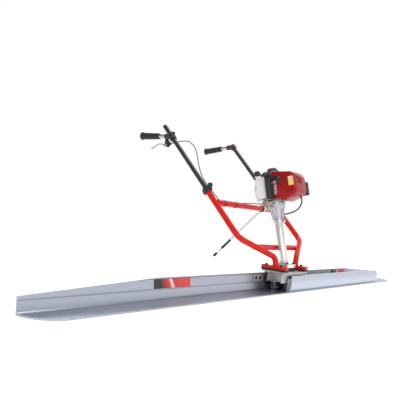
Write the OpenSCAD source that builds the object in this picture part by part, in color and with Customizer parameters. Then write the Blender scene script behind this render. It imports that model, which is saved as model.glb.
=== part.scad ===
// Power screed: a vibrating blade, an exciter, a tube frame with telescopic handles
// and a small four-stroke engine on a leaning mast.
// X runs along the blade, Y towards the operator, Z up, origin on the sole below the exciter.

/* [Blade] */
// Length of the blade
blade_len = 3050; // [2400:10:3600]
// Depth of the sole flange, front to back
flange_w = 116; // [112:1:140]
// Thickness of the sole flange
flange_t = 5; // [4:0.5:8]
// Height of the rear web above the sole
web_h = 80; // [66:1:96]
// Thickness of the rear web
web_t = 4; // [3:0.5:5]
// Backward lean of the rear web in degrees
web_lean = 6; // [0:0.5:7]
// Height of the rear web at the blade's ends
web_end_h = 53; // [40:1:60]
// Length of each end over which the web tapers down
taper_len = 550; // [200:10:800]
// Length of the rounded corner at each end of the flange
nose_len = 105; // [60:1:110]
// Length of the front rail
rail_len = 1260; // [700:10:1500]
// Depth of the front rail
rail_d = 24; // [18:1:25]
// Wall of the front rail
rail_wall = 3; // [2:0.5:4]

/* [Exciter] */
// Width of the housing plate along the blade
plate_w = 250; // [240:1:300]
// Depth of the housing plate
plate_d = 132; // [126:1:140]
// Thickness of the housing plate
plate_t = 8; // [6:0.5:12]
// Outer diameter of the central hub
hub_d = 76; // [74:0.5:77]
// Diameter of the mounting posts
post_d = 38; // [30:1:40]
// Drive shaft diameter at the bearings
shaft_d = 15; // [12:0.5:16]
// Bearing outer diameter
bearing_d = 35; // [32:0.5:37]
// Thickness of the rubber pads under the foot strips
pad_t = 10; // [6:0.5:14]

/* [Frame] */
// Outer diameter of the red tubes
tube_d = 28; // [26:0.5:32]
// Wall of the red tubes
tube_wall = 2.5; // [2:0.1:3.5]
// Half the distance between the two handle lines
grip_half = 322; // [280:1:380]
// Rake of the handle line from the vertical in degrees
rake = 45; // [42:0.5:48]
// Length of the straight red tube from its lower bend
red_len = 290; // [270:1:330]
// Distance from the lower bend to the upper cross tube
cross_at = 212; // [180:1:220]
// Half the distance between the foot strips
foot_half = 108; // [104:0.5:112]
// Width of a foot strip
strip_w = 34; // [32:1:36]
// Thickness of a foot strip
strip_t = 14; // [8:0.5:18]

/* [Mast] */
// Outer diameter of the mast tube
mast_d = 42; // [38:0.5:46]
// Wall of the mast tube
mast_wall = 3; // [2:0.5:4]
// Lean of the mast towards the operator in degrees
mast_lean = 15.4; // [12:0.2:17]
// Height of the mast tube above its flange
mast_len = 217; // [205:1:260]

/* [Engine] */
// Height of the clutch housing from mast to crankcase
clutch_h = 98; // [92:1:110]
// Outer diameter of the clutch drum
drum_d = 78; // [72:0.5:80]
// Width of the crankcase
case_w = 90; // [84:1:94]
// Height of the crankcase along the shaft
case_h = 86; // [80:1:90]
// Cylinder bore
bore_d = 39; // [36:0.5:42]
// Flywheel diameter
flywheel_d = 96; // [88:1:100]
// Width of the top cover
cover_w = 124; // [118:1:130]
// Width of the fuel tank
tank_w = 138; // [128:1:150]

/* [Handles] */
// Wall of the handle tubes
handle_wall = 2; // [1.5:0.1:3]
// Distance from the lower bend to the top of the handle tubes
handle_top = 728; // [700:1:800]
// Length of the rubber grips
grip_len = 122; // [110:1:130]
// Diameter of the grip bars
bar_d = 22; // [18:0.5:24]
// Downward slope of the right grip in degrees
grip_slope = 10; // [0:1:15]

/* [Stand] */
// Distance of the stand from the middle of the upper cross tube
stand_x = 135; // [100:1:180]
// Outer diameter of the stand's upper tube
stand_d = 10; // [9:0.5:12]
// Length of the stand from its pivot to its tip
stand_len = 408; // [380:1:420]
// Angle of the stand from the vertical in degrees
stand_angle = 43.7; // [30:0.1:50]

/* [Hidden] */
$fn = 48;
run = 0.05;
weld = 0.08;
bead_w = 2;
seat = 0.05;
gap = 0.3;
eps = 0.01;

// blade section
half = blade_len / 2;
lean_shift = tan(web_lean);
front_y = -flange_w / 2;
back_y = flange_w / 2;
bead_r = 3.5;
fillet = 4;
nose_r = (nose_len * nose_len + flange_w * flange_w) / (2 * flange_w);
rail_x0 = -60;
rail_r = 90;
rail_lip = 17;
rail_lip_from = 140 - rail_x0;
rail_screws = [for (k = [0 : 4]) rail_x0 + rail_lip_from + 40 + k * (rail_len - rail_lip_from - 80) / 4];

// plates on the web
bracket_x = 190;
bracket_w = 62;
bracket_t = 5;
bracket_z0 = 44;
bracket_bolt_z = (bracket_z0 + web_h - 4) / 2;
bracket_bolts = [for (s = [-1, 1], k = [-1, 1]) s * bracket_x + k * 18];

// exciter stack
plate_z = web_h + 10;
plate_top = plate_z + plate_t;
plate_y = 16;
hub_y = 5;
cover_top = 40;
cover_d = 72;
wing_z = 42;
wing_y = -30;
wing_d = 78;
post_x = 75;
post_y = 30;
post_bolt_d = 10;
pad_top = plate_top + pad_t;
strip_top = pad_top + strip_t;
strip_y = 16;
strip_len = 132;
strip_bolts = [-18, 62];
centre_w = 84;
centre_d = 90;
centre_pad_t = 16;
flange_h = 18;
flange_bolt = 33;
bolt_d = 8;
nut_h = 5.6;

// mast line
mast_y = 23.5;
mast_z = plate_top + centre_pad_t + flange_h;
socket_depth = 14;

// shaft line, measured along the mast from its foot
low_bearing_h = -112;
bearing_t = 11;
ecc_h0 = -97;
ecc_t = 30;
ecc_d = 52;
up_bearing_h = -63;
shaft_bottom = low_bearing_h - 1;
clutch_z = mast_len;
case_z = clutch_z + clutch_h;
drum_z = case_z - 30;
drum_t = 22;
drum_wall = 3;
bell_r = drum_d / 2 + 5;
shaft_top = drum_z + 3;
bush_h = 16;
spigot = 12;
bush_at = [30, mast_len - 40];

// engine line
case_d = 88;
case_wall = 6;
crank_d = 15;
fly_z = case_z + case_h + 2;
fly_t = 22;
reel_z = fly_z + fly_t + 8;
reel_t = 9;
fan_r = 60;
recoil_top = reel_z + 49;
cover_base = case_z - 15;
cover_front = -148;
cover_knee = -70;
cover_rise = 20;
muffler_w = 30;
muffler_len = 108;
muffler_y = -94;
muffler_x = cover_w / 2 + gap + muffler_w / 2;
oil_y = -8;
oil_z = 14;
oil_d = 16;
exhaust_y = -80;
cyl_y = 46;
cyl_len = 72;
cyl_z = case_z + case_h / 2;
rope_y = -4;
rope_z = reel_z + reel_t / 2;
rope_d = 4;
starter_x = 80;
arm_at = [28, -22];
choke_at = [-6, -7];
lever_shaft_d = 5;
tank_y = 47;
tank_d = 78;
cap_at = [-42, 64];

// handle line
bend = [grip_half, 105, 240];
low_bend = [foot_half, 14, strip_top + 38];
cross_pos = [grip_half, bend[1] + cross_at * sin(rake), bend[2] + cross_at * cos(rake)];
low_cross_z = strip_top + 80;
low_cross_share = (low_cross_z - low_bend[2]) / (bend[2] - low_bend[2]);
low_cross = [low_bend[0] + (bend[0] - low_bend[0]) * low_cross_share,
    mast_y + (low_cross_z - mast_z) * tan(mast_lean) + ((mast_d + tube_d) / 2 + 1) / cos(mast_lean),
    low_cross_z];
bend_low_r = 40;
bend_high_r = 60;
handle_d = tube_d - 2 * tube_wall - 2 * run;
handle_bottom = 165;
clamp_s = red_len - 15;
clamp_len = 30;
clamp_r = 19;
grip_s_left = 650;
grip_s_right = 716;
switch_s = grip_s_left + 6;
switch_d = 10;
grip_clamp_span = [[-20, 20], [-14, 10]];
grip_clamp_r = 18;
bar_len = 198;
lever_pivot = [-grip_half, 590, 655];
lever_pin_d = 6;

// stand
stand_bore = tube_d + 2 * run;
stand_eye_r = tube_d / 2 + 5;
stand_eye_w = 18;
sleeve_from = 262;
sleeve_len = 74;
rod_d = stand_d - 3.6;
rod_top = sleeve_from - 60;
tip_len = 28;

// routes of the cables, chosen by hand
cable_d = 5;
cable_upper = [
    [-306, 584, 664], [-306, 566, 669], [-306, 545, 674], [-308, 520, 678],
    [-311, 495, 680], [-315, 470, 679], [-319, 445, 672], [-321, 422, 658],
    [-322, 405, 637], [-322, 392, 610], [-322, 382, 580], [-322, 370, 548],
    [-322, 354, 518], [-322, 334, 492], [-322, 309.7, 467.4]];
cable_lower = [
    [-322, 286, 447.4], [-322, 276, 438], [-321, 264, 427], [-315, 255, 417],
    [-303, 256, 410], [-285, 262, 406], [-260, 266, 404], [-200, 266, 404],
    [-140, 266, 404], [-90, 266, 404], [-60, 264, 405], [-42, 255, 407],
    [-40, 238, 408], [-48, 216, 409], [-58, 193, 409], [-64, 170, 410], [-66, 147.8, 411]];
lead_d = 7;
lead_route = [
    [45, -118.1, 314.1], [45, -119.3, 310.2], [45.5, -120, 303], [46.5, -118, 291], [47, -112, 279],
    [46.5, -102, 267], [45, -88, 257], [43, -70, 250], [40, -50, 246], [36, -30, 244.5],
    [31.5, -11, 246]];

// ---------- helpers ----------

// Places children in the mast's own frame: z up the mast, y towards the operator.
module mast_frame() {
    translate([0, mast_y, mast_z]) rotate([-mast_lean, 0, 0]) children();
}

// Places children on a handle line: z up the tube, -y on its upper side.
module handle_frame(side) {
    translate([side * grip_half, bend[1], bend[2]]) rotate([-rake, 0, 0]) children();
}

function handle_point(s, off) = [grip_half,
    bend[1] + s * sin(rake) + off * cos(rake), bend[2] + s * cos(rake) - off * sin(rake)];

function unit(v) = v / norm(v);
function side_axis(d) = abs(d[0]) > 0.9 ? [0, 1, 0] : [1, 0, 0];

// Places children so that z points along d from the point p.
module along(p, d) {
    w = unit(d);
    u = unit(cross(side_axis(w), w));
    v = cross(w, u);
    multmatrix([[u[0], v[0], w[0], p[0]], [u[1], v[1], w[1], p[1]], [u[2], v[2], w[2], p[2]]])
        children();
}

module rod(p, q, r) {
    along(p, q - p) cylinder(r = r, h = norm(q - p));
}

function turned(v, n, t) = v * cos(t) + cross(n, v) * sin(t) + n * (n * v) * (1 - cos(t));
function bend_cut(p, q, s, bend_r) = bend_r * tan(acos(unit(q - p) * unit(s - q)) / 2);

// Straight piece of tube whose facets start from the direction a.
module tube_run(p, q, a, r, r_in) {
    w = unit(q - p);
    v = cross(w, a);
    multmatrix([[a[0], v[0], w[0], p[0]], [a[1], v[1], w[1], p[1]], [a[2], v[2], w[2], p[2]]]) difference() {
        cylinder(r = r, h = norm(q - p));
        if (r_in > 0) translate([0, 0, -1]) cylinder(r = r_in, h = norm(q - p) + 2);
    }
}

// Bent piece of tube from p towards s round the corner q; its facets start from the direction from.
module tube_bend(p, q, s, bend_r, from, r, r_in) {
    u = unit(q - p);
    turn = acos(u * unit(s - q));
    n = unit(cross(u, s - q));
    a = -cross(n, u);
    c = q - u * bend_cut(p, q, s, bend_r) - a * bend_r;
    phase = atan2(from * n, from * a);
    multmatrix([[a[0], u[0], n[0], c[0]], [a[1], u[1], n[1], c[1]], [a[2], u[2], n[2], c[2]]])
        rotate_extrude(angle = turn) translate([bend_r, 0]) rotate(phase) difference() {
            circle(r = r);
            if (r_in > 0) circle(r = r_in);
        }
}

// Tube, or solid bar when r_in is 0, along four points with bends at the two inner ones and
// a low weld ring over each seam.
module bent_bar(p, r, r_in, bend_1, bend_2) {
    d = [for (i = [0 : 2]) unit(p[i + 1] - p[i])];
    n1 = unit(cross(d[0], d[1]));
    n2 = unit(cross(d[1], d[2]));
    a0 = -cross(n1, d[0]);
    a1 = turned(a0, n1, acos(d[0] * d[1]));
    a2 = turned(a1, n2, acos(d[1] * d[2]));
    t1 = bend_cut(p[0], p[1], p[2], bend_1);
    t2 = bend_cut(p[1], p[2], p[3], bend_2);
    seams = [p[1] - d[0] * t1, p[1] + d[1] * t1, p[2] - d[1] * t2, p[2] + d[2] * t2];
    ways = [d[0], d[1], d[1], d[2]];
    tube_run(p[0], seams[0], a0, r, r_in);
    tube_bend(p[0], p[1], p[2], bend_1, a0, r, r_in);
    tube_run(seams[1], seams[2], a1, r, r_in);
    tube_bend(p[1], p[2], p[3], bend_2, a1, r, r_in);
    tube_run(seams[3], p[3], a2, r, r_in);
    for (i = [0 : 3]) along(seams[i] - ways[i] * bead_w / 2, ways[i]) difference() {
        cylinder(r = r + weld, h = bead_w);
        if (r_in > 0) translate([0, 0, -1]) cylinder(r = r_in - weld, h = bead_w + 2);
    }
}

// Rounded rectangle made of squares and circles.
module rounded(w, d, r) {
    square([w - 2 * r, d], center = true);
    square([w, d - 2 * r], center = true);
    for (sx = [-1, 1], sy = [-1, 1]) translate([sx * (w / 2 - r), sy * (d / 2 - r)]) circle(r = r);
}

module block(x0, x1, y0, y1, z0, z1) {
    translate([x0, y0, z0]) cube([x1 - x0, y1 - y0, z1 - z0]);
}

module ring(r_out, r_in, h) {
    difference() {
        cylinder(r = r_out, h = h);
        translate([0, 0, -1]) cylinder(r = r_in, h = h + 2);
    }
}

// Side directions of a route's rings, carried along it without twisting.
function carried(dirs, u, i = 0) = i == len(dirs) ? [] :
    let (v = unit(u - dirs[i] * (u * dirs[i]))) concat([v], carried(dirs, v, i + 1));

// Swept tube along a hand-chosen route.
module swept(route, d, sides) {
    last = len(route) - 1;
    dirs = [for (i = [0 : last]) unit(route[min(i + 1, last)] - route[max(i - 1, 0)])];
    ups = carried(dirs, [1, 0.1, 0]);
    rings = [for (i = [0 : last], k = [0 : sides - 1])
        route[i] + (ups[i] * cos(360 * k / sides) + cross(dirs[i], ups[i]) * sin(360 * k / sides)) * d / 2];
    walls = [for (i = [0 : last - 1], k = [0 : sides - 1])
        [i * sides + k, (i + 1) * sides + k, (i + 1) * sides + (k + 1) % sides, i * sides + (k + 1) % sides]];
    polyhedron(rings, concat([[for (k = [0 : sides - 1]) k]], walls,
        [[for (k = [sides - 1 : -1 : 0]) last * sides + k]]));
}

module hex_bolt(d, len, head) {
    cylinder(d = d * 1.7, h = head, $fn = 6);
    translate([0, 0, -len]) cylinder(d = d, h = len + eps);
}

// ---------- blade ----------

module blade_section() {
    top_in = back_y - web_t + web_h * lean_shift;
    polygon([[front_y + 3, 0], [back_y, 0], [back_y + web_h * lean_shift, web_h],
        [top_in, web_h], [back_y - web_t + (flange_t + fillet) * lean_shift, flange_t + fillet],
        [back_y - web_t - fillet, flange_t], [front_y, flange_t], [front_y, 3]]);
    translate([top_in + web_t / 2, web_h]) circle(r = bead_r);
    translate([back_y - web_t + 0.52 * web_h * lean_shift, 0.52 * web_h]) circle(r = 2.2);
}

module blade_plan() {
    straight = half - nose_len;
    translate([-straight, front_y - 1]) square([2 * straight, flange_w + 40]);
    for (s = [-1, 1]) intersection() {
        union() {
            translate([s * straight, front_y + nose_r]) circle(r = nose_r, $fn = 96);
            translate([-half, front_y + nose_r]) square([2 * half, flange_w]);
        }
        translate([-half, front_y - 1]) square([2 * half, flange_w + 40]);
    }
}

module blade() {
    slope = (web_h - web_end_h) / taper_len;
    color("lightsteelblue") difference() {
        intersection() {
            rotate([90, 0, 90]) linear_extrude(blade_len, center = true) blade_section();
            translate([0, 0, -1]) linear_extrude(web_h + 20) blade_plan();
        }
        for (s = [-1, 1]) translate([0, back_y + 40, 0]) rotate([90, 0, 0]) linear_extrude(80)
            polygon([[s * (half - taper_len), web_h + bead_r + 1], [s * (half + 1), web_h + bead_r + 1],
                [s * (half + 1), web_end_h - slope], [s * (half - taper_len - bead_r / slope), web_h + bead_r]]);
        for (x = rail_screws) translate([x, rail_screw_y(), -1]) cylinder(d = 6 + 2 * seat, h = flange_t + 2);
        for (s = [-1, 1]) translate([s * post_x, post_y, -1])
            cylinder(d = post_bolt_d + 2 * seat, h = flange_t + 2);
        bracket_bores();
    }
}

function rail_back() = front_y + rail_d;
function rail_screw_y() = rail_back() + rail_lip / 2;

module rail_outer() {
    intersection() {
        translate([front_y, flange_t]) square([rail_d, web_h - flange_t]);
        translate([front_y + rail_r, flange_t + (web_h - flange_t) / 2]) circle(r = rail_r, $fn = 120);
    }
    translate([front_y + 5.2, web_h - 13]) circle(r = 2.6);
}

module rail_inner() {
    intersection() {
        translate([front_y + rail_wall, flange_t + rail_wall])
            square([rail_d - 2 * rail_wall, web_h - flange_t - 2 * rail_wall]);
        translate([front_y + rail_r, flange_t + (web_h - flange_t) / 2])
            circle(r = rail_r - rail_wall, $fn = 120);
    }
}

module front_rail() {
    color("aliceblue") difference() {
        union() {
            intersection() {
                translate([rail_x0, 0, 0]) rotate([90, 0, 90]) linear_extrude(rail_len) rail_outer();
                translate([rail_x0, front_y + rail_d + 1, 0]) rotate([90, 0, 0]) linear_extrude(rail_d + 6) {
                    translate([0, flange_t - 1]) square([rail_len, web_h - flange_t - 22]);
                    translate([22, 0]) square([rail_len - 44, web_h + 1]);
                    for (x = [22, rail_len - 22]) translate([x, web_h - 23]) circle(r = 22);
                }
            }
            block(rail_x0 + rail_lip_from, rail_x0 + rail_len, rail_back() - eps, rail_back() + rail_lip,
                flange_t, flange_t + rail_wall);
        }
        translate([rail_x0 + rail_wall, 0, 0]) rotate([90, 0, 90]) linear_extrude(rail_len) rail_inner();
        for (x = rail_screws) translate([x, rail_screw_y(), 0]) cylinder(d = 6 + 2 * seat, h = 20);
    }
}

// Places children on the inner face of the leaning web: y points through the web, z up it.
module web_frame() {
    translate([0, back_y - web_t, 0]) rotate([-web_lean, 0, 0]) children();
}

module bracket_bores() {
    for (x = bracket_bolts) web_frame() translate([x, 20, bracket_bolt_z]) rotate([90, 0, 0])
        cylinder(d = bolt_d + 2 * seat, h = 40);
}

// Two plates bolted flat against the web on either side of the exciter.
module web_brackets() {
    color("white") difference() {
        web_frame() for (s = [-1, 1]) translate([s * bracket_x - bracket_w / 2, -bracket_t, bracket_z0])
            cube([bracket_w, bracket_t, web_h - bracket_z0 - 4]);
        bracket_bores();
    }
}

// ---------- exciter ----------

module post_bores(r) {
    for (s = [-1, 1]) translate([s * post_x, post_y, 0]) cylinder(r = r, h = 200);
}

module plate_bolt_bores() {
    for (s = [-1, 1], y = strip_bolts) translate([s * foot_half, y, 0])
        cylinder(d = bolt_d + 2 * seat, h = 200);
    for (sx = [-1, 1], sy = [-1, 1]) translate([sx * flange_bolt, mast_y + sy * flange_bolt, plate_z - 5.5])
        cylinder(d = bolt_d + 2 * seat, h = 200);
}

module exciter_housing() {
    color("silver") difference() {
        union() {
            translate([0, plate_y, plate_z]) linear_extrude(plate_t) rounded(plate_w, plate_d, 12);
            translate([0, hub_y, cover_top]) cylinder(d = hub_d, h = plate_z - cover_top + eps);
            difference() {
                block(-118, 118, wing_y, wing_y + wing_d, wing_z, plate_z + eps);
                for (s = [-1, 1], y = [wing_y + 4, wing_y + 40]) translate([s > 0 ? 30 : -115, y, wing_z - 1])
                    cube([85, 32, plate_z - wing_z - 5]);
            }
            for (s = [-1, 1]) translate([s * post_x, post_y, wing_z])
                cylinder(r = post_d / 2, h = plate_z - wing_z);
            for (sx = [-1, 1], sy = [-1, 1]) translate([sx * flange_bolt, mast_y + sy * flange_bolt, plate_z - 6])
                cylinder(r = 8, h = 6 + eps);
        }
        mast_frame() {
            translate([0, 0, up_bearing_h]) cylinder(d = bearing_d + 2 * seat, h = bearing_t + 3);
            translate([0, 0, ecc_h0 - 3]) cylinder(d = ecc_d + 4, h = up_bearing_h - ecc_h0 - 1);
            translate([0, 0, ecc_h0 - 40]) cylinder(d = ecc_d + 4, h = 40);
            translate([0, 0, up_bearing_h - 5]) cylinder(d = bearing_d - 6, h = 80);
        }
        post_bores(post_bolt_d / 2 + seat);
        plate_bolt_bores();
        for (s = [-1, 1], y = strip_bolts) translate([s * foot_half, y, plate_z - 8])
            cylinder(d = bolt_d + 9, h = 8);
    }
}

module exciter_cover() {
    color("#202020") difference() {
        translate([0, hub_y - 3, flange_t]) cylinder(d = cover_d, h = cover_top - flange_t);
        mast_frame() {
            translate([0, 0, low_bearing_h]) cylinder(d = bearing_d + 2 * seat, h = 60);
            translate([0, 0, low_bearing_h + bearing_t + 1]) cylinder(d = ecc_d + 4, h = 60);
            translate([0, 0, low_bearing_h - 4]) cylinder(d = bearing_d - 8, h = 10);
        }
    }
}

module exciter_posts() {
    color("#282828") for (s = [-1, 1]) translate([s * post_x, post_y, flange_t])
        ring(post_d / 2, post_bolt_d / 2 + seat, wing_z - flange_t);
}

module isolator_pads() {
    color("#181818") {
        difference() {
            for (s = [-1, 1]) translate([s * foot_half, strip_y, plate_top]) linear_extrude(pad_t)
                rounded(strip_w, strip_len, 4);
            plate_bolt_bores();
        }
        difference() {
            translate([0, mast_y, plate_top]) linear_extrude(centre_pad_t) rounded(centre_w, centre_d, 6);
            mast_frame() translate([0, 0, -60]) cylinder(d = bearing_d - 6, h = 60);
            plate_bolt_bores();
        }
    }
}

module eccentric_weight() {
    color("dimgray") mast_frame() translate([0, 0, ecc_h0]) difference() {
        union() {
            cylinder(r = shaft_d / 2 + 6, h = ecc_t);
            intersection() {
                cylinder(d = ecc_d, h = ecc_t);
                translate([-ecc_d, -ecc_d, 0]) cube([2 * ecc_d, ecc_d - 2, ecc_t]);
            }
        }
        translate([0, 0, -1]) cylinder(r = shaft_d / 2 + seat, h = ecc_t + 2);
    }
}

module drive_shaft() {
    color("gainsboro") mast_frame() {
        translate([0, 0, shaft_bottom]) cylinder(d = shaft_d, h = -shaft_bottom - 45);
        translate([0, 0, -45 - eps]) cylinder(d = shaft_d - 3, h = shaft_top + 45 + eps);
    }
}

module ball_bearing(z) {
    translate([0, 0, z]) {
        ring(bearing_d / 2, bearing_d / 2 - 3, bearing_t);
        ring(shaft_d / 2 + 3, shaft_d / 2 + run, bearing_t);
        translate([0, 0, bearing_t / 2 - 2]) ring(bearing_d / 2 - 3, shaft_d / 2 + 3, 4);
    }
}

module shaft_bearings() {
    color("lightgray") mast_frame() {
        ball_bearing(low_bearing_h);
        ball_bearing(up_bearing_h);
    }
}

// ---------- frame ----------

module foot_strip(side) {
    color("red") difference() {
        translate([side * foot_half, strip_y, pad_top]) linear_extrude(strip_t) rounded(strip_w, strip_len, 4);
        plate_bolt_bores();
    }
}

function side_route(side) = [for (p = [[low_bend[0], low_bend[1], strip_top], low_bend, bend,
    handle_point(red_len - seat, 0)]) [side * p[0], p[1], p[2]]];

module side_tube(side) {
    color("red") bent_bar(side_route(side), tube_d / 2, tube_d / 2 - tube_wall, bend_low_r, bend_high_r);
}

// Cross tube whose ends are cut to sit against the side tubes.
module cross_tube(at, reach) {
    color("red") difference() {
        rod([-reach, at[1], at[2]], [reach, at[1], at[2]], tube_d / 2);
        rod([-reach - 1, at[1], at[2]], [reach + 1, at[1], at[2]], tube_d / 2 - tube_wall);
        for (s = [-1, 1], k = [1, 2]) rod(side_route(s)[k], side_route(s)[k + 1], tube_d / 2 + seat);
    }
}

module upper_cross_tube() cross_tube(cross_pos, grip_half - tube_d / 4);
module lower_cross_tube() cross_tube(low_cross, low_cross[0] + 2);

module fasteners() {
    color("#222222") {
        for (s = [-1, 1], y = strip_bolts) translate([s * foot_half, y, strip_top]) {
            hex_bolt(bolt_d, strip_top - plate_z + nut_h, 7);
            translate([0, 0, plate_z - strip_top - nut_h]) ring(bolt_d * 0.85, bolt_d / 2 - eps, nut_h - seat);
        }
        for (sx = [-1, 1], sy = [-1, 1]) translate([sx * flange_bolt, mast_y + sy * flange_bolt, mast_z])
            hex_bolt(bolt_d, mast_z - plate_z + 5, 7);
        for (s = [-1, 1]) translate([s * post_x, post_y, plate_top]) hex_bolt(post_bolt_d, plate_top - 1, 7);
        for (x = rail_screws) translate([x, rail_screw_y(), flange_t + rail_wall]) {
            cylinder(d = 12, h = 3);
            translate([0, 0, -flange_t - rail_wall + 1]) cylinder(d = 6, h = flange_t + rail_wall - 1 + eps);
        }
        web_frame() for (x = bracket_bolts) translate([x, -bracket_t, bracket_bolt_z]) rotate([90, 0, 0])
            hex_bolt(bolt_d, bracket_t + web_t - 1, 5);
    }
}

// ---------- mast ----------

module mast_bore(r, from, to) {
    mast_frame() translate([0, 0, from]) cylinder(r = r, h = to - from);
}

module mast_flange() {
    color("whitesmoke") difference() {
        translate([0, mast_y, mast_z - flange_h]) linear_extrude(flange_h) rounded(centre_w, centre_d, 8);
        mast_bore(mast_d / 2 + seat, -socket_depth + 2, 60);
        mast_bore(bearing_d / 2 - 3, -60, 10);
        plate_bolt_bores();
    }
}

module mast_tube() {
    color("white") mast_frame() translate([0, 0, -socket_depth + 2])
        ring(mast_d / 2, mast_d / 2 - mast_wall, mast_len + socket_depth - 2);
}

module mast_collar() {
    color("lightgray") mast_frame() translate([0, 0, mast_len - 17]) {
        difference() {
            union() {
                cylinder(r = mast_d / 2 + 5, h = 16.5);
                block(-7, 7, -mast_d / 2 - 15, -mast_d / 2 - 2, 0, 16.5);
            }
            translate([0, 0, -1]) cylinder(r = mast_d / 2 + seat, h = 20);
            block(-1.2, 1.2, -mast_d / 2 - 20, 0, -1, 20);
            translate([-10, -mast_d / 2 - 9, 8.2]) rotate([0, 90, 0]) cylinder(d = 5 + 2 * seat, h = 20);
        }
        translate([-10, -mast_d / 2 - 9, 8.2]) rotate([0, 90, 0]) cylinder(d = 5, h = 20);
        translate([7 + eps, -mast_d / 2 - 9, 8.2]) rotate([0, 90, 0]) cylinder(d = 9, h = 4, $fn = 6);
    }
}

module mast_bushes() {
    color("ivory") mast_frame() for (z = bush_at) translate([0, 0, z])
        ring(mast_d / 2 - mast_wall - seat, (shaft_d - 3) / 2 + run, bush_h);
}

// ---------- engine ----------

module clutch_housing() {
    color("silver") mast_frame() translate([0, 0, clutch_z]) difference() {
        union() {
            rotate_extrude() polygon([[0, 0], [28, 0], [28, 18], [32, 48], [bell_r, 62],
                [bell_r, clutch_h], [0, clutch_h]]);
            translate([0, 0, -spigot]) cylinder(r = mast_d / 2 - mast_wall - seat, h = spigot + eps);
        }
        translate([0, 0, -spigot - 1]) cylinder(r = 14, h = spigot + 33);
        translate([0, 0, 30]) cylinder(d = shaft_d - 3 + 2 * run, h = 24);
        translate([0, 0, 51]) cylinder(r = 16, h = 20);
        translate([0, 0, 64]) cylinder(r = drum_d / 2 + 2, h = clutch_h - 63);
    }
}

module clutch_drum() {
    color("gray") mast_frame() translate([0, 0, drum_z]) difference() {
        union() {
            ring(drum_d / 2, drum_d / 2 - drum_wall, drum_t);
            cylinder(r = drum_d / 2, h = 4);
            translate([0, 0, -12]) cylinder(r = 11, h = 13);
        }
        translate([0, 0, -13]) cylinder(r = (shaft_d - 3) / 2 + seat, h = 16.3);
    }
}

module clutch_shoes() {
    shoe_r = drum_d / 2 - drum_wall - 1.2;
    color("darkgray") mast_frame() translate([0, 0, drum_z + 6]) {
        for (a = [0, 180]) rotate([0, 0, a]) difference() {
            cylinder(r = shoe_r, h = 14);
            translate([0, 0, -1]) cylinder(r = shoe_r - 13, h = 16);
            translate([-60, -60, -1]) cube([120, 62, 16]);
        }
        translate([0, 0, 3]) difference() {
            intersection() {
                cylinder(r = shoe_r - 13 + eps, h = 8);
                translate([-9, -50, 0]) cube([18, 100, 8]);
            }
            translate([0, 0, -1]) cylinder(d = crank_d - 3 + 2 * seat, h = 10);
        }
    }
}

module crankcase() {
    color("silver") mast_frame() translate([0, 0, case_z]) difference() {
        union() {
            translate([0, -2, 0]) linear_extrude(case_h) rounded(case_w, case_d, 10);
            translate([0, 0, case_h - 4]) cylinder(r = fan_r, h = 4);
        }
        translate([0, -2, case_wall]) linear_extrude(case_h - 2 * case_wall)
            rounded(case_w - 2 * case_wall, case_d - 2 * case_wall, 5);
        translate([0, 0, -1]) cylinder(r = crank_d / 2 + run, h = case_h + 2);
        translate([0, 0, case_h / 2]) rotate([90, 0, 0]) cylinder(r = bore_d / 2 + 4, h = 80);
        translate([case_w / 2 - case_wall - 1, oil_y, oil_z]) rotate([0, 90, 0])
            cylinder(d = oil_d, h = case_wall + 2);
    }
}

module cylinder_block() {
    fin_gap = 4;
    color("gainsboro") mast_frame() translate([0, -cyl_y, cyl_z]) rotate([90, 0, 0]) difference() {
        union() {
            cylinder(r = bore_d / 2 + 6, h = cyl_len);
            translate([0, 0, -9]) cylinder(r = bore_d / 2 + 4 - seat, h = 10);
            linear_extrude(5) rounded(76, 76, 6);
            for (k = [0 : 6]) translate([0, 0, 12 + k * 2 * fin_gap]) linear_extrude(3) rounded(84, 76, 12);
            translate([0, 0, cyl_len - 8]) linear_extrude(14) rounded(60, 62, 8);
        }
        translate([0, 0, -10]) cylinder(d = bore_d, h = cyl_len - 4);
        translate([0, 0, cyl_len - 14]) cylinder(d = 12 + 2 * seat, h = 30);
    }
}

module crankshaft() {
    color("gainsboro") mast_frame() {
        translate([0, 0, drum_z + 9]) cylinder(d = crank_d - 3, h = case_z - drum_z - 9);
        translate([0, 0, case_z - eps]) cylinder(d = crank_d, h = case_h + 2);
        translate([0, 0, case_z + case_h + 2 - 2 * eps]) cylinder(d = crank_d - 3, h = fly_t + 4);
        translate([0, 0, case_z + 16]) cylinder(r = 26, h = 10);
        translate([0, 0, case_z + case_h - 26]) cylinder(r = 26, h = 10);
    }
}

module flywheel() {
    color("darkgray") mast_frame() translate([0, 0, fly_z]) difference() {
        union() {
            cylinder(d = flywheel_d - 20, h = 10);
            cylinder(d = 30, h = fly_t);
            cylinder(d = flywheel_d, h = 3);
            for (a = [0 : 30 : 330]) rotate([0, 0, a]) translate([26, -1.5, 2])
                cube([flywheel_d / 2 - 28, 3, fly_t - 4]);
        }
        translate([0, 0, -1]) cylinder(d = crank_d - 3 + 2 * seat, h = fly_t + 2);
    }
}

module piston() {
    color("silver") mast_frame() translate([0, -cyl_y - 4, cyl_z]) rotate([90, 0, 0]) difference() {
        cylinder(d = bore_d - 2 * run, h = 30);
        translate([0, 0, -1]) cylinder(d = bore_d - 8, h = 26);
        translate([-30, 0, 10]) rotate([0, 90, 0]) cylinder(d = 9, h = 60);
    }
}

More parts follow.
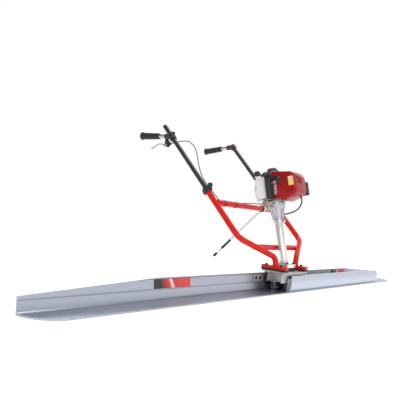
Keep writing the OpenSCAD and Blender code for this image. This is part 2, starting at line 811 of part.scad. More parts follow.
// Side outline of the moulded shroud, open towards the crankcase when inset.
module cover_outline(inset) {
    y0 = inset > 0 ? 20 : -20;
    y1 = cover_front + inset;
    z0 = cover_base - (inset > 0 ? 1 : 0);
    z1 = recoil_top - 26 - inset;
    knee = cover_knee + inset;
    polygon(concat([[y0, z0], [knee, z0]], inset > 0 ? [[knee, cover_base + inset]] : [],
        [[y1 + 12, cover_base + cover_rise + inset], [y1, cover_base + cover_rise + 18 + inset / 2],
        [y1, z1 - 50], [y1 + 18, z1 - 22], [y0, z1]]));
}

module cover_body(inset) {
    intersection() {
        rotate([90, 0, 90]) linear_extrude(cover_w - 2 * inset, center = true) cover_outline(inset);
        translate([0, -48, case_z - 40]) linear_extrude(300)
            rounded(cover_w - 2 * inset, 200 - 2 * inset, 22 - inset);
    }
}

module top_cover() {
    color("red") mast_frame() difference() {
        cover_body(0);
        cover_body(3);
        translate([0, 0, case_z + case_h - 5]) cylinder(r = fan_r + 1, h = 100);
        for (k = [0 : 6]) block(-cover_w, -20, -139, -118, case_z + 70 + k * 7, case_z + 73 + k * 7);
        block(-cover_w, -20, -72, -26, case_z + 76, case_z + 112);
        block(-cover_w, cover_w, -60, 0, case_z - 60, case_z - 2);
        translate([0, exhaust_y, cyl_z]) rotate([0, 90, 0]) cylinder(d = 20, h = cover_w);
    }
}

module recoil_cover() {
    fan_h = reel_z - case_z - case_h;
    color("#1c1c1c") mast_frame() translate([0, 0, case_z + case_h]) {
        difference() {
            rotate_extrude() polygon([[0, 0], [fan_r, 0], [fan_r, fan_h + 4], [40, fan_h + 26],
                [26, fan_h + 49], [0, fan_h + 49]]);
            translate([0, 0, -1]) cylinder(r = fan_r - 3, h = fan_h + 1);
            translate([0, 0, fan_h - 1]) cylinder(r = 38, h = reel_t + 3);
            translate([-70, rope_y, fan_h + reel_t / 2]) rotate([0, 90, 0]) cylinder(d = rope_d + 1, h = 50);
        }
        translate([0, 0, fan_h]) cylinder(r = 6 - run, h = reel_t + 2 + eps);
    }
}

module recoil_reel() {
    color("gray") mast_frame() translate([0, 0, reel_z]) difference() {
        union() {
            cylinder(r = 35, h = 2);
            cylinder(r = 30, h = reel_t);
            translate([0, 0, reel_t - 2]) cylinder(r = 35, h = 2);
        }
        translate([0, 0, -1]) cylinder(r = 6, h = reel_t + 2);
    }
}

module starter_handle() {
    color("#303030") mast_frame() translate([-starter_x, rope_y, rope_z]) {
        translate([-12, 0, 0]) rotate([90, 0, 0]) difference() {
            translate([0, 0, -20]) cylinder(d = 16, h = 40);
            translate([0, 0, -21]) cylinder(d = 4, h = 42);
        }
        difference() {
            translate([-6, 0, 0]) rotate([0, 90, 0]) cylinder(d = 12, h = 16);
            translate([-20, 0, 0]) rotate([0, 90, 0]) cylinder(d = 9, h = 14);
            translate([-30, 0, 0]) rotate([0, 90, 0]) cylinder(d = rope_d + 2 * seat, h = 60);
        }
    }
}

module starter_rope() {
    color("white") mast_frame() translate([-starter_x - 2, rope_y, rope_z]) rotate([0, 90, 0])
        cylinder(d = rope_d, h = 40);
}

module tank_body(inset) {
    difference() {
        translate([0, tank_y, case_z + 12 + inset]) linear_extrude(case_h + 36 - 2 * inset)
            rounded(tank_w - 2 * inset, tank_d - 2 * inset, 22 - inset);
        block(-case_w / 2 - gap - inset, case_w / 2 + gap + inset, -10, case_d / 2 - 2 + gap + inset,
            0, case_z + case_h + 1);
        translate([0, 0, case_z + case_h - 5 - inset]) cylinder(r = fan_r + 3 + inset, h = 200);
    }
}

module fuel_tank() {
    color("ivory") mast_frame() difference() {
        tank_body(0);
        tank_body(2.5);
        translate([cap_at[0], cap_at[1], case_z + case_h + 8]) cylinder(d = 18 + 2 * run, h = 60);
    }
}

module fuel_cap() {
    color("#141414") mast_frame() translate([cap_at[0], cap_at[1], case_z + case_h + 48 + gap]) {
        cylinder(d = 31, h = 27);
        translate([0, 0, -12]) cylinder(d = 18, h = 12 + eps);
    }
}

module air_cleaner() {
    color("#161616") mast_frame() difference() {
        block(-84, -61, -20 + gap, 7, case_z + 4, case_z + 112);
        block(-81, -64, -17 + gap, 4, case_z + 8, case_z + 108);
    }
}

module carburettor() {
    color("silver") mast_frame() difference() {
        union() {
            block(-76, -47.5, -14, 40, case_z - 32, case_z + 3.7);
            block(-47.6, -case_w / 2, -8, 24, case_z, case_z + 3.7);
            translate([-66, 40, case_z - 14]) rotate([-90, 0, 0]) cylinder(d = 10, h = 4.4);
            translate([-62, 13, case_z - 50]) cylinder(d = 24, h = 19);
        }
        translate([-77, 13, case_z - 12]) rotate([0, 90, 0]) cylinder(d = 16, h = 24);
        for (p = [arm_at, choke_at]) translate([-77, p[0], case_z + p[1]]) rotate([0, 90, 0])
            cylinder(d = lever_shaft_d + 2 * run, h = 12);
    }
}

// Placed at a lever's pivot on the side of the carburettor, with the lever's shaft in its bore.
module carb_pivot(at) {
    translate([-76 - gap - 4, at[0], case_z + at[1]]) {
        rotate([0, 90, 0]) cylinder(d = lever_shaft_d, h = 14);
        children();
    }
}

module throttle_arm() {
    color("gold") mast_frame() carb_pivot(arm_at) {
        rotate([0, 90, 0]) cylinder(d = 12, h = 4);
        block(0, 4, -3, 3, -18, 0);
    }
}

module choke_lever() {
    color("#101010") mast_frame() carb_pivot(choke_at) {
        rotate([0, 90, 0]) cylinder(d = 10, h = 4);
        block(0, 4, -20, 0, -3, 3);
    }
}

module muffler() {
    color("#2a2a2a") mast_frame() difference() {
        union() {
            translate([muffler_x, muffler_y, cyl_z - 34]) linear_extrude(66) rounded(muffler_w, muffler_len, 8);
            translate([42, exhaust_y, cyl_z]) rotate([0, 90, 0]) cylinder(d = 16, h = cover_w / 2 + 2 - 42);
        }
        translate([muffler_x, muffler_y, cyl_z - 31]) linear_extrude(60)
            rounded(muffler_w - 6, muffler_len - 6, 6);
        translate([muffler_x, muffler_y - 26, cyl_z + 12]) rotate([0, 90, 0]) cylinder(d = 10, h = 20);
    }
}

module spark_plug() {
    plug_y = -cyl_y - cyl_len;
    color("white") mast_frame() translate([0, plug_y, cyl_z]) rotate([90, 0, 0]) {
        translate([0, 0, -12]) cylinder(d = 12, h = 24);
        translate([0, 0, 6 + eps]) cylinder(d = 18, h = 5, $fn = 6);
        translate([0, 0, 11]) cylinder(d = 9, h = 8);
        translate([0, 0, 13]) cylinder(d = 14, h = 9);
    }
}

module oil_cap() {
    color("#111111") mast_frame() translate([case_w / 2 + gap, oil_y, case_z + oil_z]) rotate([0, 90, 0]) {
        cylinder(d = 22, h = 9);
        translate([0, 0, -5]) cylinder(d = oil_d - 2 * run, h = 5 + eps);
    }
}

// ---------- handles ----------

module handle_tube(side) {
    color("#3a3a3e") handle_frame(side) {
        translate([0, 0, handle_bottom])
            ring(handle_d / 2, handle_d / 2 - handle_wall, handle_top - handle_bottom - 3);
        translate([0, 0, handle_top - 3]) cylinder(d = handle_d, h = 3);
        translate([0, 0, handle_top - 15]) cylinder(r = handle_d / 2 - handle_wall, h = 12);
    }
}

module tube_clamps() {
    color("#141414") for (side = [-1, 1]) handle_frame(side) translate([0, 0, clamp_s]) difference() {
        union() {
            cylinder(r = clamp_r, h = clamp_len);
            block(-9, 9, -clamp_r - 6, -10, 0, clamp_len);
            block(-8, 8, 10, clamp_r + 5, 3, clamp_len - 3);
        }
        translate([0, 0, -1]) cylinder(r = tube_d / 2 + seat, h = 16);
        translate([0, 0, -1]) cylinder(r = handle_d / 2 + run, h = clamp_len + 2);
        translate([0, -40, clamp_len - 7]) rotate([-90, 0, 0]) cylinder(d = 6 + 2 * run, h = 35);
    }
}

module clamp_knob(side) {
    at = [0, -clamp_r - 6 - gap, clamp_s + clamp_len - 7];
    color("#101010") handle_frame(side) translate(at) rotate([90, 0, 0]) {
        cylinder(d = 24, h = 9);
        translate([0, 0, 9 - eps]) cylinder(d = 18, h = 5);
        translate([0, 0, -12.8 + gap]) cylinder(d = 6, h = 13);
        for (a = [0 : 60 : 300]) rotate([0, 0, a]) translate([11, 0, 0]) cylinder(r = 3, h = 9);
    }
}

function grip_origin(side) = let (s = side < 0 ? grip_s_left : grip_s_right)
    [side * grip_half, bend[1] + s * sin(rake), bend[2] + s * cos(rake)];

// Places children with z along the grip, away from the handle tube.
module grip_frame(side) {
    translate(grip_origin(side)) rotate([-90 - (side > 0 ? grip_slope : 0), 0, 0]) children();
}

module grip_clamp(side) {
    s = side < 0 ? grip_s_left : grip_s_right;
    span = grip_clamp_span[side < 0 ? 0 : 1];
    color(side < 0 ? "#161616" : "#5a1c18") difference() {
        union() {
            handle_frame(side) translate([0, 0, s + span[0]]) cylinder(r = grip_clamp_r, h = span[1] - span[0]);
            grip_frame(side) cylinder(r = bar_d / 2 + 4, h = 40);
            grip_frame(side) cylinder(d = bar_d, h = bar_len);
            if (side < 0) {
                block(-grip_half - 8, -grip_half + 8, 576, 598, 648, grip_origin(-1)[2]);
                translate(lever_pivot - [8, 0, 0]) rotate([0, 90, 0]) cylinder(r = 9, h = 16);
                block(-grip_half, -grip_half + 20, 584.4, 594, 656, 672);
                handle_frame(-1) translate([0, -14, switch_s]) rotate([90, 0, 0]) cylinder(d = 16, h = 9);
            }
        }
        handle_frame(side) translate([0, 0, -50]) cylinder(r = handle_d / 2 + seat, h = 900);
        if (side < 0) {
            block(-grip_half - 3.3, -grip_half + 3.3, 560, 640, 640, 668);
            translate(lever_pivot - [20, 0, 0]) rotate([0, 90, 0]) cylinder(d = lever_pin_d, h = 40);
            handle_frame(-1) translate([0, -15.6, switch_s]) rotate([90, 0, 0])
                cylinder(d = switch_d + 2 * run, h = 10);
        }
    }
}

module grip(side) {
    from = bar_len - grip_len + 4;
    color("#0e0e0e") grip_frame(side) translate([0, 0, from]) difference() {
        rotate_extrude() polygon([[0, 0], [15, 0], [15.5, 20], [17, 60], [17, grip_len - 14],
            [20.5, grip_len - 8], [20.5, grip_len - 2], [18, grip_len], [0, grip_len]]);
        translate([0, 0, -1]) cylinder(d = bar_d + 2 * seat, h = grip_len - 4 + 1);
    }
}

module throttle_lever() {
    color("lightgray") translate([-grip_half - 3, 0, 0]) rotate([90, 0, 90]) {
        linear_extrude(6) difference() {
            polygon([[583, 650], [596, 647], [604, 649], [620, 656], [640, 658], [662, 647], [689, 633],
                [691, 637], [664, 652], [641, 663], [618, 661], [600, 656], [594, 662], [584, 660]]);
            translate([lever_pivot[1], lever_pivot[2]]) circle(d = lever_pin_d);
        }
    }
    color("silver") translate(lever_pivot - [8, 0, 0]) rotate([0, 90, 0])
        cylinder(d = lever_pin_d - 2 * run, h = 16);
}

module stop_switch() {
    color("darkred") handle_frame(-1) translate([0, -18.6, switch_s]) rotate([90, 0, 0]) {
        cylinder(d = switch_d, h = 7);
        translate([0, 0, 7 - eps]) cylinder(d1 = switch_d, d2 = switch_d - 2, h = 1);
    }
}

// ---------- cables ----------

module throttle_cable_upper() color("#202020") swept(cable_upper, cable_d, 8);
module throttle_cable_lower() color("#202020") swept(cable_lower, cable_d, 8);
module engine_lead() color("#2c2c2c") mast_frame() swept(lead_route, lead_d, 10);

// ---------- stand ----------

module stand_collars() {
    for (s = [-1, 1]) color("#1a1a1a")
        translate([stand_x + s * (stand_eye_w / 2 + gap), cross_pos[1], cross_pos[2]])
            rotate([0, s * 90, 0]) ring(stand_eye_r - 1, tube_d / 2 + seat, 8);
}

// Places children with z down the stand from its pivot.
module stand_frame() {
    translate([stand_x, cross_pos[1], cross_pos[2]]) rotate([180 + stand_angle, 0, 0]) children();
}

module stand_tube() {
    color("silver") stand_frame() difference() {
        union() {
            translate([-stand_eye_w / 2, 0, 0]) rotate([0, 90, 0]) cylinder(r = stand_eye_r, h = stand_eye_w);
            cylinder(d = stand_d, h = sleeve_from + 10);
            translate([0, 0, sleeve_from]) cylinder(d = stand_d + 5, h = sleeve_len);
        }
        translate([-stand_eye_w, 0, 0]) rotate([0, 90, 0]) cylinder(d = stand_bore, h = 2 * stand_eye_w);
        translate([0, 0, rod_top - gap]) cylinder(d = rod_d + 2 * run, h = 300);
    }
}

module stand_rod() {
    color("silver") stand_frame() {
        translate([0, 0, rod_top]) cylinder(d = rod_d, h = stand_len - tip_len + 5 - rod_top);
        translate([0, 0, stand_len - tip_len]) cylinder(d = 15, h = tip_len - 3);
        translate([0, 0, stand_len - 3 - eps]) cylinder(d1 = 15, d2 = 10, h = 3);
    }
}

blade();
front_rail();
web_brackets();
exciter_housing();
exciter_cover();
exciter_posts();
isolator_pads();
eccentric_weight();
drive_shaft();
shaft_bearings();
foot_strip(-1);  // foot_strip_left
foot_strip(1);  // foot_strip_right
side_tube(-1);  // side_tube_left
side_tube(1);  // side_tube_right
upper_cross_tube();
lower_cross_tube();
fasteners();
mast_flange();
mast_tube();
mast_collar();
mast_bushes();
clutch_housing();
clutch_drum();
clutch_shoes();
crankcase();
cylinder_block();  // cylinder
crankshaft();
flywheel();
piston();
top_cover();
recoil_cover();
recoil_reel();
starter_handle();
starter_rope();
fuel_tank();
fuel_cap();
air_cleaner();
carburettor();
throttle_arm();
choke_lever();
muffler();
spark_plug();
oil_cap();
handle_tube(-1);  // handle_tube_left
handle_tube(1);  // handle_tube_right
tube_clamps();
clamp_knob(-1);  // clamp_knob_left
clamp_knob(1);  // clamp_knob_right
grip_clamp(-1);  // grip_clamp_left
grip_clamp(1);  // grip_clamp_right
grip(-1);  // grip_left
grip(1);  // grip_right
throttle_lever();
throttle_cable_upper();
throttle_cable_lower();
engine_lead();
stop_switch();
stand_collars();
stand_tube();
stand_rod();
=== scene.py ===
import math

import bmesh
import bpy
from mathutils import Matrix, Vector


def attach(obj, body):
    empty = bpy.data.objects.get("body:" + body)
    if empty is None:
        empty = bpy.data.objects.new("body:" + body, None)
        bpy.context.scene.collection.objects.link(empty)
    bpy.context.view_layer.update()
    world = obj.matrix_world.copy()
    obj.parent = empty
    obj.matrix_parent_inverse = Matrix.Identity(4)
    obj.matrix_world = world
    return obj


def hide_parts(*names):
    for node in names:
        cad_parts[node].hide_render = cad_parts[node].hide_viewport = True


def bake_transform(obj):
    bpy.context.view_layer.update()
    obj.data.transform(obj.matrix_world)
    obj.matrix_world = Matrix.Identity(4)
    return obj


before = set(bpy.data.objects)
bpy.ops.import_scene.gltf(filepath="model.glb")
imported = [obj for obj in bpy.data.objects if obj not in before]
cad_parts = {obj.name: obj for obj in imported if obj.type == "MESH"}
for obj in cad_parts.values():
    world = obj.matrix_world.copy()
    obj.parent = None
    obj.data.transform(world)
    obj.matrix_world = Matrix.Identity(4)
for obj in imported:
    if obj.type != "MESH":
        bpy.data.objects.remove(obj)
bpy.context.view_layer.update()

scene = bpy.context.scene

# ---- Studio ------------------------------------------------------------------------------
# A plain pale floor under a bright sky with one darker side, and three soft boxes: one ahead
# on the left, one overhead and one behind. The camera stands low at the left end of the blade.


def dial(node, levels):
    """Sets the inputs of a node by their names."""
    for socket, level in levels.items():
        node.inputs[socket].default_value = level


floor_bm = bmesh.new()
bmesh.ops.create_grid(floor_bm, x_segments=1, y_segments=1, size=30)
floor_mesh = bpy.data.meshes.new("floor")
floor_bm.to_mesh(floor_mesh)
floor_bm.free()
floor = bpy.data.objects.new("floor", floor_mesh)
floor.location.z = -0.0005
scene.collection.objects.link(floor)
floor_paint = bpy.data.materials.new("pale floor")
floor_paint.use_nodes = True
dial(floor_paint.node_tree.nodes["Principled BSDF"],
     {"Base Color": (0.80, 0.80, 0.805, 1), "Emission Color": (1, 1, 1, 1), "Emission Strength": 0.42,
      "Roughness": 0.75})
floor_mesh.materials.append(floor_paint)

sky = bpy.data.worlds.new("studio sky")
sky.use_nodes = True
sky_way = sky.node_tree.nodes.new("ShaderNodeTexCoord")
sky_split = sky.node_tree.nodes.new("ShaderNodeSeparateXYZ")
sky_tones = sky.node_tree.nodes.new("ShaderNodeValToRGB")
for place_up, tone in ((0.0, 0.25), (0.42, 0.62), (0.48, 1.0), (0.70, 1.0), (0.80, 0.42), (1.0, 0.30)):
    stop = sky_tones.color_ramp.elements.new(place_up)
    stop.color = (tone, tone, tone * 1.01, 1)
sky_tones.color_ramp.elements.remove(sky_tones.color_ramp.elements[0])
sky_tones.color_ramp.elements.remove(sky_tones.color_ramp.elements[-1])
sky_rise = sky.node_tree.nodes.new("ShaderNodeMapRange")
sky_rise.inputs["From Min"].default_value = -1
sky.node_tree.links.new(sky_way.outputs["Generated"], sky_split.inputs["Vector"])
sky.node_tree.links.new(sky_split.outputs["Z"], sky_rise.inputs["Value"])
sky.node_tree.links.new(sky_rise.outputs["Result"], sky_tones.inputs["Fac"])
sky.node_tree.links.new(sky_tones.outputs["Color"], sky.node_tree.nodes["Background"].inputs["Color"])
sky_side = sky.node_tree.nodes.new("ShaderNodeVectorMath")
sky_side.operation = "DOT_PRODUCT"
sky_side.inputs[1].default_value = (-0.62, 0.78, 0)
sky_shade = sky.node_tree.nodes.new("ShaderNodeMapRange")
dial(sky_shade, {"From Min": 0.35, "From Max": 0.90, "To Min": 1.0, "To Max": 0.30})
sky.node_tree.links.new(sky_way.outputs["Generated"], sky_side.inputs[0])
sky.node_tree.links.new(sky_side.outputs["Value"], sky_shade.inputs["Value"])
sky.node_tree.links.new(sky_shade.outputs["Result"], sky.node_tree.nodes["Background"].inputs["Strength"])
scene.world = sky
scene.view_settings.view_transform = "Standard"


def soft_box(name, stands_at, aims_at, size, power):
    lamp = bpy.data.lights.new(name, "AREA")
    lamp.shape = "SQUARE"
    lamp.size = size
    lamp.energy = power
    box = bpy.data.objects.new(name, lamp)
    box.location = stands_at
    box.rotation_euler = (Vector(aims_at) - Vector(stands_at)).to_track_quat("-Z", "Y").to_euler()
    scene.collection.objects.link(box)


soft_box("front box", (-3.2, -3.4, 3.0), (0, 0.2, 0.3), 1.6, 42)
soft_box("top box", (0.4, 0.2, 4.2), (0, 0.2, 0.3), 2.2, 45)
soft_box("back box", (1.5, 4.0, 2.4), (0, 0.3, 0.4), 1.4, 22)

camera_data = bpy.data.cameras.new("camera")
camera_data.lens = 50.22
camera_data.sensor_width = 36
camera = bpy.data.objects.new("camera", camera_data)
look_right = Vector((0.5807, -0.8063, 0.1131))
look_up = Vector((-0.0798, 0.0819, 0.9934))
turn = Matrix((look_right, look_up, look_right.cross(look_up))).transposed().to_quaternion()
camera.matrix_world = Matrix.LocRotScale(Vector((-2.506, -1.234, 0.349)), turn, None)
scene.collection.objects.link(camera)
scene.camera = camera

# ---- Blade -------------------------------------------------------------------------------
# A three-metre aluminium extrusion: flat sole, leaning rear web with a rolled top edge, both
# ends tapered. The die leaves fine lines along its length and handling leaves dull smudges.


def bumped(tree, way, size, detail, strength, depth):
    """A fine noise raised on a finish."""
    fine = tree.nodes.new("ShaderNodeTexNoise")
    dial(fine, {"Scale": size, "Detail": detail})
    tree.links.new(way, fine.inputs["Vector"])
    raised = tree.nodes.new("ShaderNodeBump")
    dial(raised, {"Strength": strength, "Distance": depth})
    tree.links.new(fine.outputs["Fac"], raised.inputs["Height"])
    tree.links.new(raised.outputs["Normal"], tree.nodes["Principled BSDF"].inputs["Normal"])


def surface(name, colour, second, rough, metal=0.0, patch=9.0, spread=0.5, grain=0.0, grain_size=900.0,
            stretch=(1, 1, 1), coat=0.0):
    """A finish with two tones in soft patches, uneven gloss and a fine grain."""
    paint = bpy.data.materials.new(name)
    paint.use_nodes = True
    tree = paint.node_tree
    shader = tree.nodes["Principled BSDF"]
    dial(shader, {"Metallic": metal, "Coat Weight": coat, "Coat Roughness": 0.06})
    place = tree.nodes.new("ShaderNodeTexCoord")
    drawn = tree.nodes.new("ShaderNodeMapping")
    dial(drawn, {"Scale": stretch})
    tree.links.new(place.outputs["Object"], drawn.inputs["Vector"])
    patches = tree.nodes.new("ShaderNodeTexNoise")
    dial(patches, {"Scale": patch, "Detail": 6})
    tree.links.new(drawn.outputs["Vector"], patches.inputs["Vector"])
    tones = tree.nodes.new("ShaderNodeValToRGB")
    tones.color_ramp.elements[0].position = 0.5 - spread / 2
    tones.color_ramp.elements[0].color = (*second, 1)
    tones.color_ramp.elements[1].position = 0.5 + spread / 2
    tones.color_ramp.elements[1].color = (*colour, 1)
    tree.links.new(patches.outputs["Fac"], tones.inputs["Fac"])
    tree.links.new(tones.outputs["Color"], shader.inputs["Base Color"])
    gloss = tree.nodes.new("ShaderNodeMapRange")
    dial(gloss, {"From Min": 0.3, "From Max": 0.7, "To Min": rough * 0.8, "To Max": min(rough * 1.25, 1.0)})
    tree.links.new(patches.outputs["Fac"], gloss.inputs["Value"])
    tree.links.new(gloss.outputs["Result"], shader.inputs["Roughness"])
    if grain:
        bumped(tree, drawn.outputs["Vector"], grain_size, 3, grain, 0.0004)
    return paint


def dress(node, paint):
    """Gives a part of the frame its finish."""
    for face_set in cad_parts[node].material_slots:
        face_set.material = paint


blade_metal = surface("satin extruded aluminium", (0.50, 0.53, 0.60), (0.38, 0.405, 0.47), 0.30, metal=0.95,
                      patch=3.0, spread=0.5, grain=0.30, grain_size=160, stretch=(0.02, 1, 1))
rail_metal = surface("bright extruded aluminium", (0.58, 0.62, 0.71), (0.46, 0.495, 0.58), 0.28, metal=0.9,
                     patch=3.0, spread=0.6, grain=0.2, grain_size=160, stretch=(0.02, 1, 1))
dress("blade", blade_metal)
dress("front_rail", rail_metal)


def mesh_piece(name, bm, place, body, paint, slot, *nodes, crease=32):
    """Sets a finished bmesh down in its place as a piece that rides on a body."""
    bmesh.ops.remove_doubles(bm, verts=bm.verts, dist=0.005)
    bmesh.ops.recalc_face_normals(bm, faces=bm.faces)
    bmesh.ops.transform(bm, matrix=place, verts=bm.verts)
    mesh = bpy.data.meshes.new(name)
    bm.to_mesh(mesh)
    bm.free()
    mesh.materials.append(paint)
    mesh.polygons.foreach_set("use_smooth", [True] * len(mesh.polygons))
    mesh.set_sharp_from_angle(angle=math.radians(crease))
    piece = bpy.data.objects.new(name, mesh)
    scene.collection.objects.link(piece)
    if body:
        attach(piece, body)
    if nodes:
        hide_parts(*nodes)
    return piece


def rounded(bm, made, edges, offset, segments):
    """Rounds some edges of a shape and gives back all of its corners."""
    cut = bmesh.ops.bevel(bm, geom=list(edges), offset=offset, segments=segments, affect="EDGES", profile=0.5,
                          material=-1)
    return list({v for v in made if v.is_valid} | {v for f in cut["faces"] for v in f.verts})


def block(bm, low, high, edge=0.0, steps=2, corner=0.0, along=2, spin=0.0, about=None):
    """A box between two corners, in mm. Its four edges that run along one axis may be rounded
    more than the rest, and it may be turned about that axis."""
    made = bmesh.ops.create_cube(bm, size=1)["verts"]
    low, high = Vector(low), Vector(high)
    bmesh.ops.scale(bm, vec=high - low, verts=made)
    bmesh.ops.translate(bm, vec=(low + high) / 2, verts=made)
    if corner:
        edges = {e for v in made for e in v.link_edges}
        long = [e for e in edges if abs((e.verts[0].co - e.verts[1].co).normalized()[along]) > 0.9]
        made = rounded(bm, made, long, corner, 6)
    if edge:
        edges = {e for v in made for e in v.link_edges}
        if corner:
            edges = {e for e in edges if abs((e.verts[0].co - e.verts[1].co).normalized()[along]) < 0.1}
        made = rounded(bm, made, edges, edge, steps)
    if spin:
        axis = [Vector((1, 0, 0)), Vector((0, 1, 0)), Vector((0, 0, 1))][along]
        bmesh.ops.rotate(bm, verts=made, cent=about or (low + high) / 2,
                         matrix=Matrix.Rotation(math.radians(spin), 3, axis))
    return made


MM = Matrix.Scale(0.001, 4)

# ---- Blade stickers ----------------------------------------------------------------------
# Two printed films on the band along the top of the web, one at each side of the exciter:
# black running into orange red, with a pale slanting streak. They carry no words.


def printed_film(name, turn_x, width):
    paint = bpy.data.materials.new(name)
    paint.use_nodes = True
    tree = paint.node_tree
    shader = tree.nodes["Principled BSDF"]
    dial(shader, {"Roughness": 0.25})
    place = tree.nodes.new("ShaderNodeTexCoord")
    move = tree.nodes.new("ShaderNodeMapping")
    lean = 0.5
    dial(move, {"Location": (-turn_x * math.cos(lean), 0, 0), "Rotation": (0, lean, 0)})
    tree.links.new(place.outputs["Object"], move.inputs["Vector"])
    split = tree.nodes.new("ShaderNodeSeparateXYZ")
    tree.links.new(move.outputs["Vector"], split.inputs["Vector"])
    run = tree.nodes.new("ShaderNodeMapRange")
    dial(run, {"From Min": 0.02, "From Max": width * math.cos(lean) + 0.02})
    tree.links.new(split.outputs["X"], run.inputs["Value"])
    bands = tree.nodes.new("ShaderNodeValToRGB")
    stops = bands.color_ramp.elements
    stops[0].position = 0.0
    stops[0].color = (0.012, 0.012, 0.016, 1)
    stops[1].position = 1.0
    stops[1].color = (0.80, 0.045, 0.015, 1)
    for position, shade in ((0.24, (0.014, 0.012, 0.016, 1)), (0.31, (0.30, 0.012, 0.008, 1)),
                            (0.46, (0.72, 0.04, 0.02, 1)), (0.52, (0.86, 0.84, 0.84, 1)),
                            (0.58, (0.60, 0.03, 0.02, 1))):
        stop = stops.new(position)
        stop.color = shade
    tree.links.new(run.outputs["Result"], bands.inputs["Fac"])
    tree.links.new(bands.outputs["Color"], shader.inputs["Base Color"])
    bumped(tree, place.outputs["Object"], 60, 2, 0.15, 0.0003)
    return paint


WEB = Matrix.Translation((0, 0.054, 0)) @ Matrix.Rotation(math.radians(-6), 4, "X") @ MM
for side_name, film_x, film_w in (("left", -940, 222), ("right", 697, 221)):
    bm = bmesh.new()
    block(bm, (film_x, -0.55, 43), (film_x + film_w, 0.2, 78), edge=0.15, steps=1, corner=2.5, along=1)
    mesh_piece("blade_film_" + side_name, bm, WEB, "frame",
               printed_film("printed film " + side_name, film_x / 1000, film_w / 1000), "blade_aluminium")

# ---- Plates on the web -------------------------------------------------------------------
# Two flat cast pads bolted to the inner face of the web, one on each side of the exciter.
cast_metal = surface("warm cast aluminium", (0.66, 0.63, 0.61), (0.36, 0.32, 0.30), 0.42, metal=0.8, patch=28,
                     spread=0.45, grain=0.5, grain_size=420)
for side_name, side in (("left", -1), ("right", 1)):
    bm = bmesh.new()
    block(bm, (side * 190 - 31, -5, 44), (side * 190 + 31, 0, 76), edge=0.8, corner=4, along=1)
    block(bm, (side * 190 - 7, -6.2, 47), (side * 190 + 7, -4.9, 73), edge=0.5)
    plate = mesh_piece("web_plate_" + side_name, bm, WEB, "frame", cast_metal, "cast_aluminium")
    if side < 0:
        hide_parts("web_brackets")

# ---- Exciter -----------------------------------------------------------------------------
# A cast aluminium plate on two posts, with a hub for the upper bearing and a black cup below
# it for the lower one. Ribbed wings stiffen the plate; the posts' bolts come through it.
black_paint = surface("black enamel", (0.022, 0.022, 0.025), (0.012, 0.012, 0.013), 0.22, patch=22,
                      grain=0.12,
                      grain_size=500, coat=0.4)


def turned(bm, outline, at=(0, 0, 0), axis=(0, 0, 1), steps=48, ring=False):
    """Spins an outline of (radius, height) pairs, in mm, about an axis through a point."""
    before = set(bm.verts)
    corners = [bm.verts.new((radius, 0, height)) for radius, height in outline]
    pairs = list(zip(corners, corners[1:])) + ([(corners[-1], corners[0])] if ring else [])
    edges = [bm.edges.new(pair) for pair in pairs]
    bmesh.ops.spin(bm, geom=corners + edges, cent=(0, 0, 0), axis=(0, 0, 1), angle=math.tau, steps=steps,
                   use_merge=True)
    made = [v for v in bm.verts if v not in before]
    stand = Vector(axis).to_track_quat("Z", "Y").to_matrix().to_4x4()
    bmesh.ops.transform(bm, matrix=Matrix.Translation(at) @ stand, verts=made)
    return made


def drum(radius, height, edge=1.0, base=0.0, low_edge=None):
    """The outline of a round bar with rounded rims."""
    low_edge = edge if low_edge is None else low_edge
    turn_in = [(math.sin(k * math.pi / 6), 1 - math.cos(k * math.pi / 6)) for k in range(4)]
    low = [(radius - low_edge + low_edge * x, base + low_edge * y) for x, y in turn_in]
    high = [(radius - edge + edge * x, base + height - edge * y) for x, y in reversed(turn_in)]
    return [(0, base)] + low + high + [(0, base + height)]


bm = bmesh.new()
block(bm, (-125, -50, 90), (125, 82, 98), edge=1.2, corner=12)
turned(bm, [(0, 41), (34, 41), (36.5, 42.5), (38, 45), (38, 52), (36.2, 54), (36.2, 66), (38, 68), (38, 74),
            (36.4, 76), (36.4, 85), (41, 90.5), (0, 90.5)], at=(0, 5, 0), steps=64)
for x in (-75, 75):
    turned(bm, drum(19, 48, edge=1.5, base=42.5), at=(x, 30, 0))
for y in (-30, 8, 44):
    block(bm, (-116, y, 44), (116, y + 4.2, 91), edge=1.2)
for x in (-116, -92, -54, 50, 88, 112):
    block(bm, (x, -29, 50), (x + 4, 47, 91), edge=1.0)
for x, y in ((-33, -9.5), (33, -9.5), (-33, 56.5), (33, 56.5)):
    turned(bm, drum(8, 7, edge=1, base=84.5), at=(x, y, 0), steps=24)
mesh_piece("exciter_casting", bm, MM, "frame", cast_metal, "cast_aluminium", "exciter_housing")

bm = bmesh.new()
turned(bm, [(0, 5), (34, 5), (35.8, 6.5), (36, 9), (36, 14), (34.6, 15.5), (34.6, 31), (36, 32.5), (36, 38),
            (34.8, 40), (0, 40)], at=(0, 2, 0), steps=64)
mesh_piece("lower_bearing_cup", bm, MM, "frame", black_paint, "black_metal", "exciter_cover")
bm = bmesh.new()
for x in (-75, 75):
    turned(bm, [(0, 5), (18.6, 5), (19, 6), (19, 10), (17.4, 11.5), (17.4, 36), (19, 37.5), (19, 41.4),
                (18.4, 42),
                (0, 42)], at=(x, 30, 0))
mesh_piece("exciter_feet", bm, MM, "frame", black_paint, "black_metal", "exciter_posts")

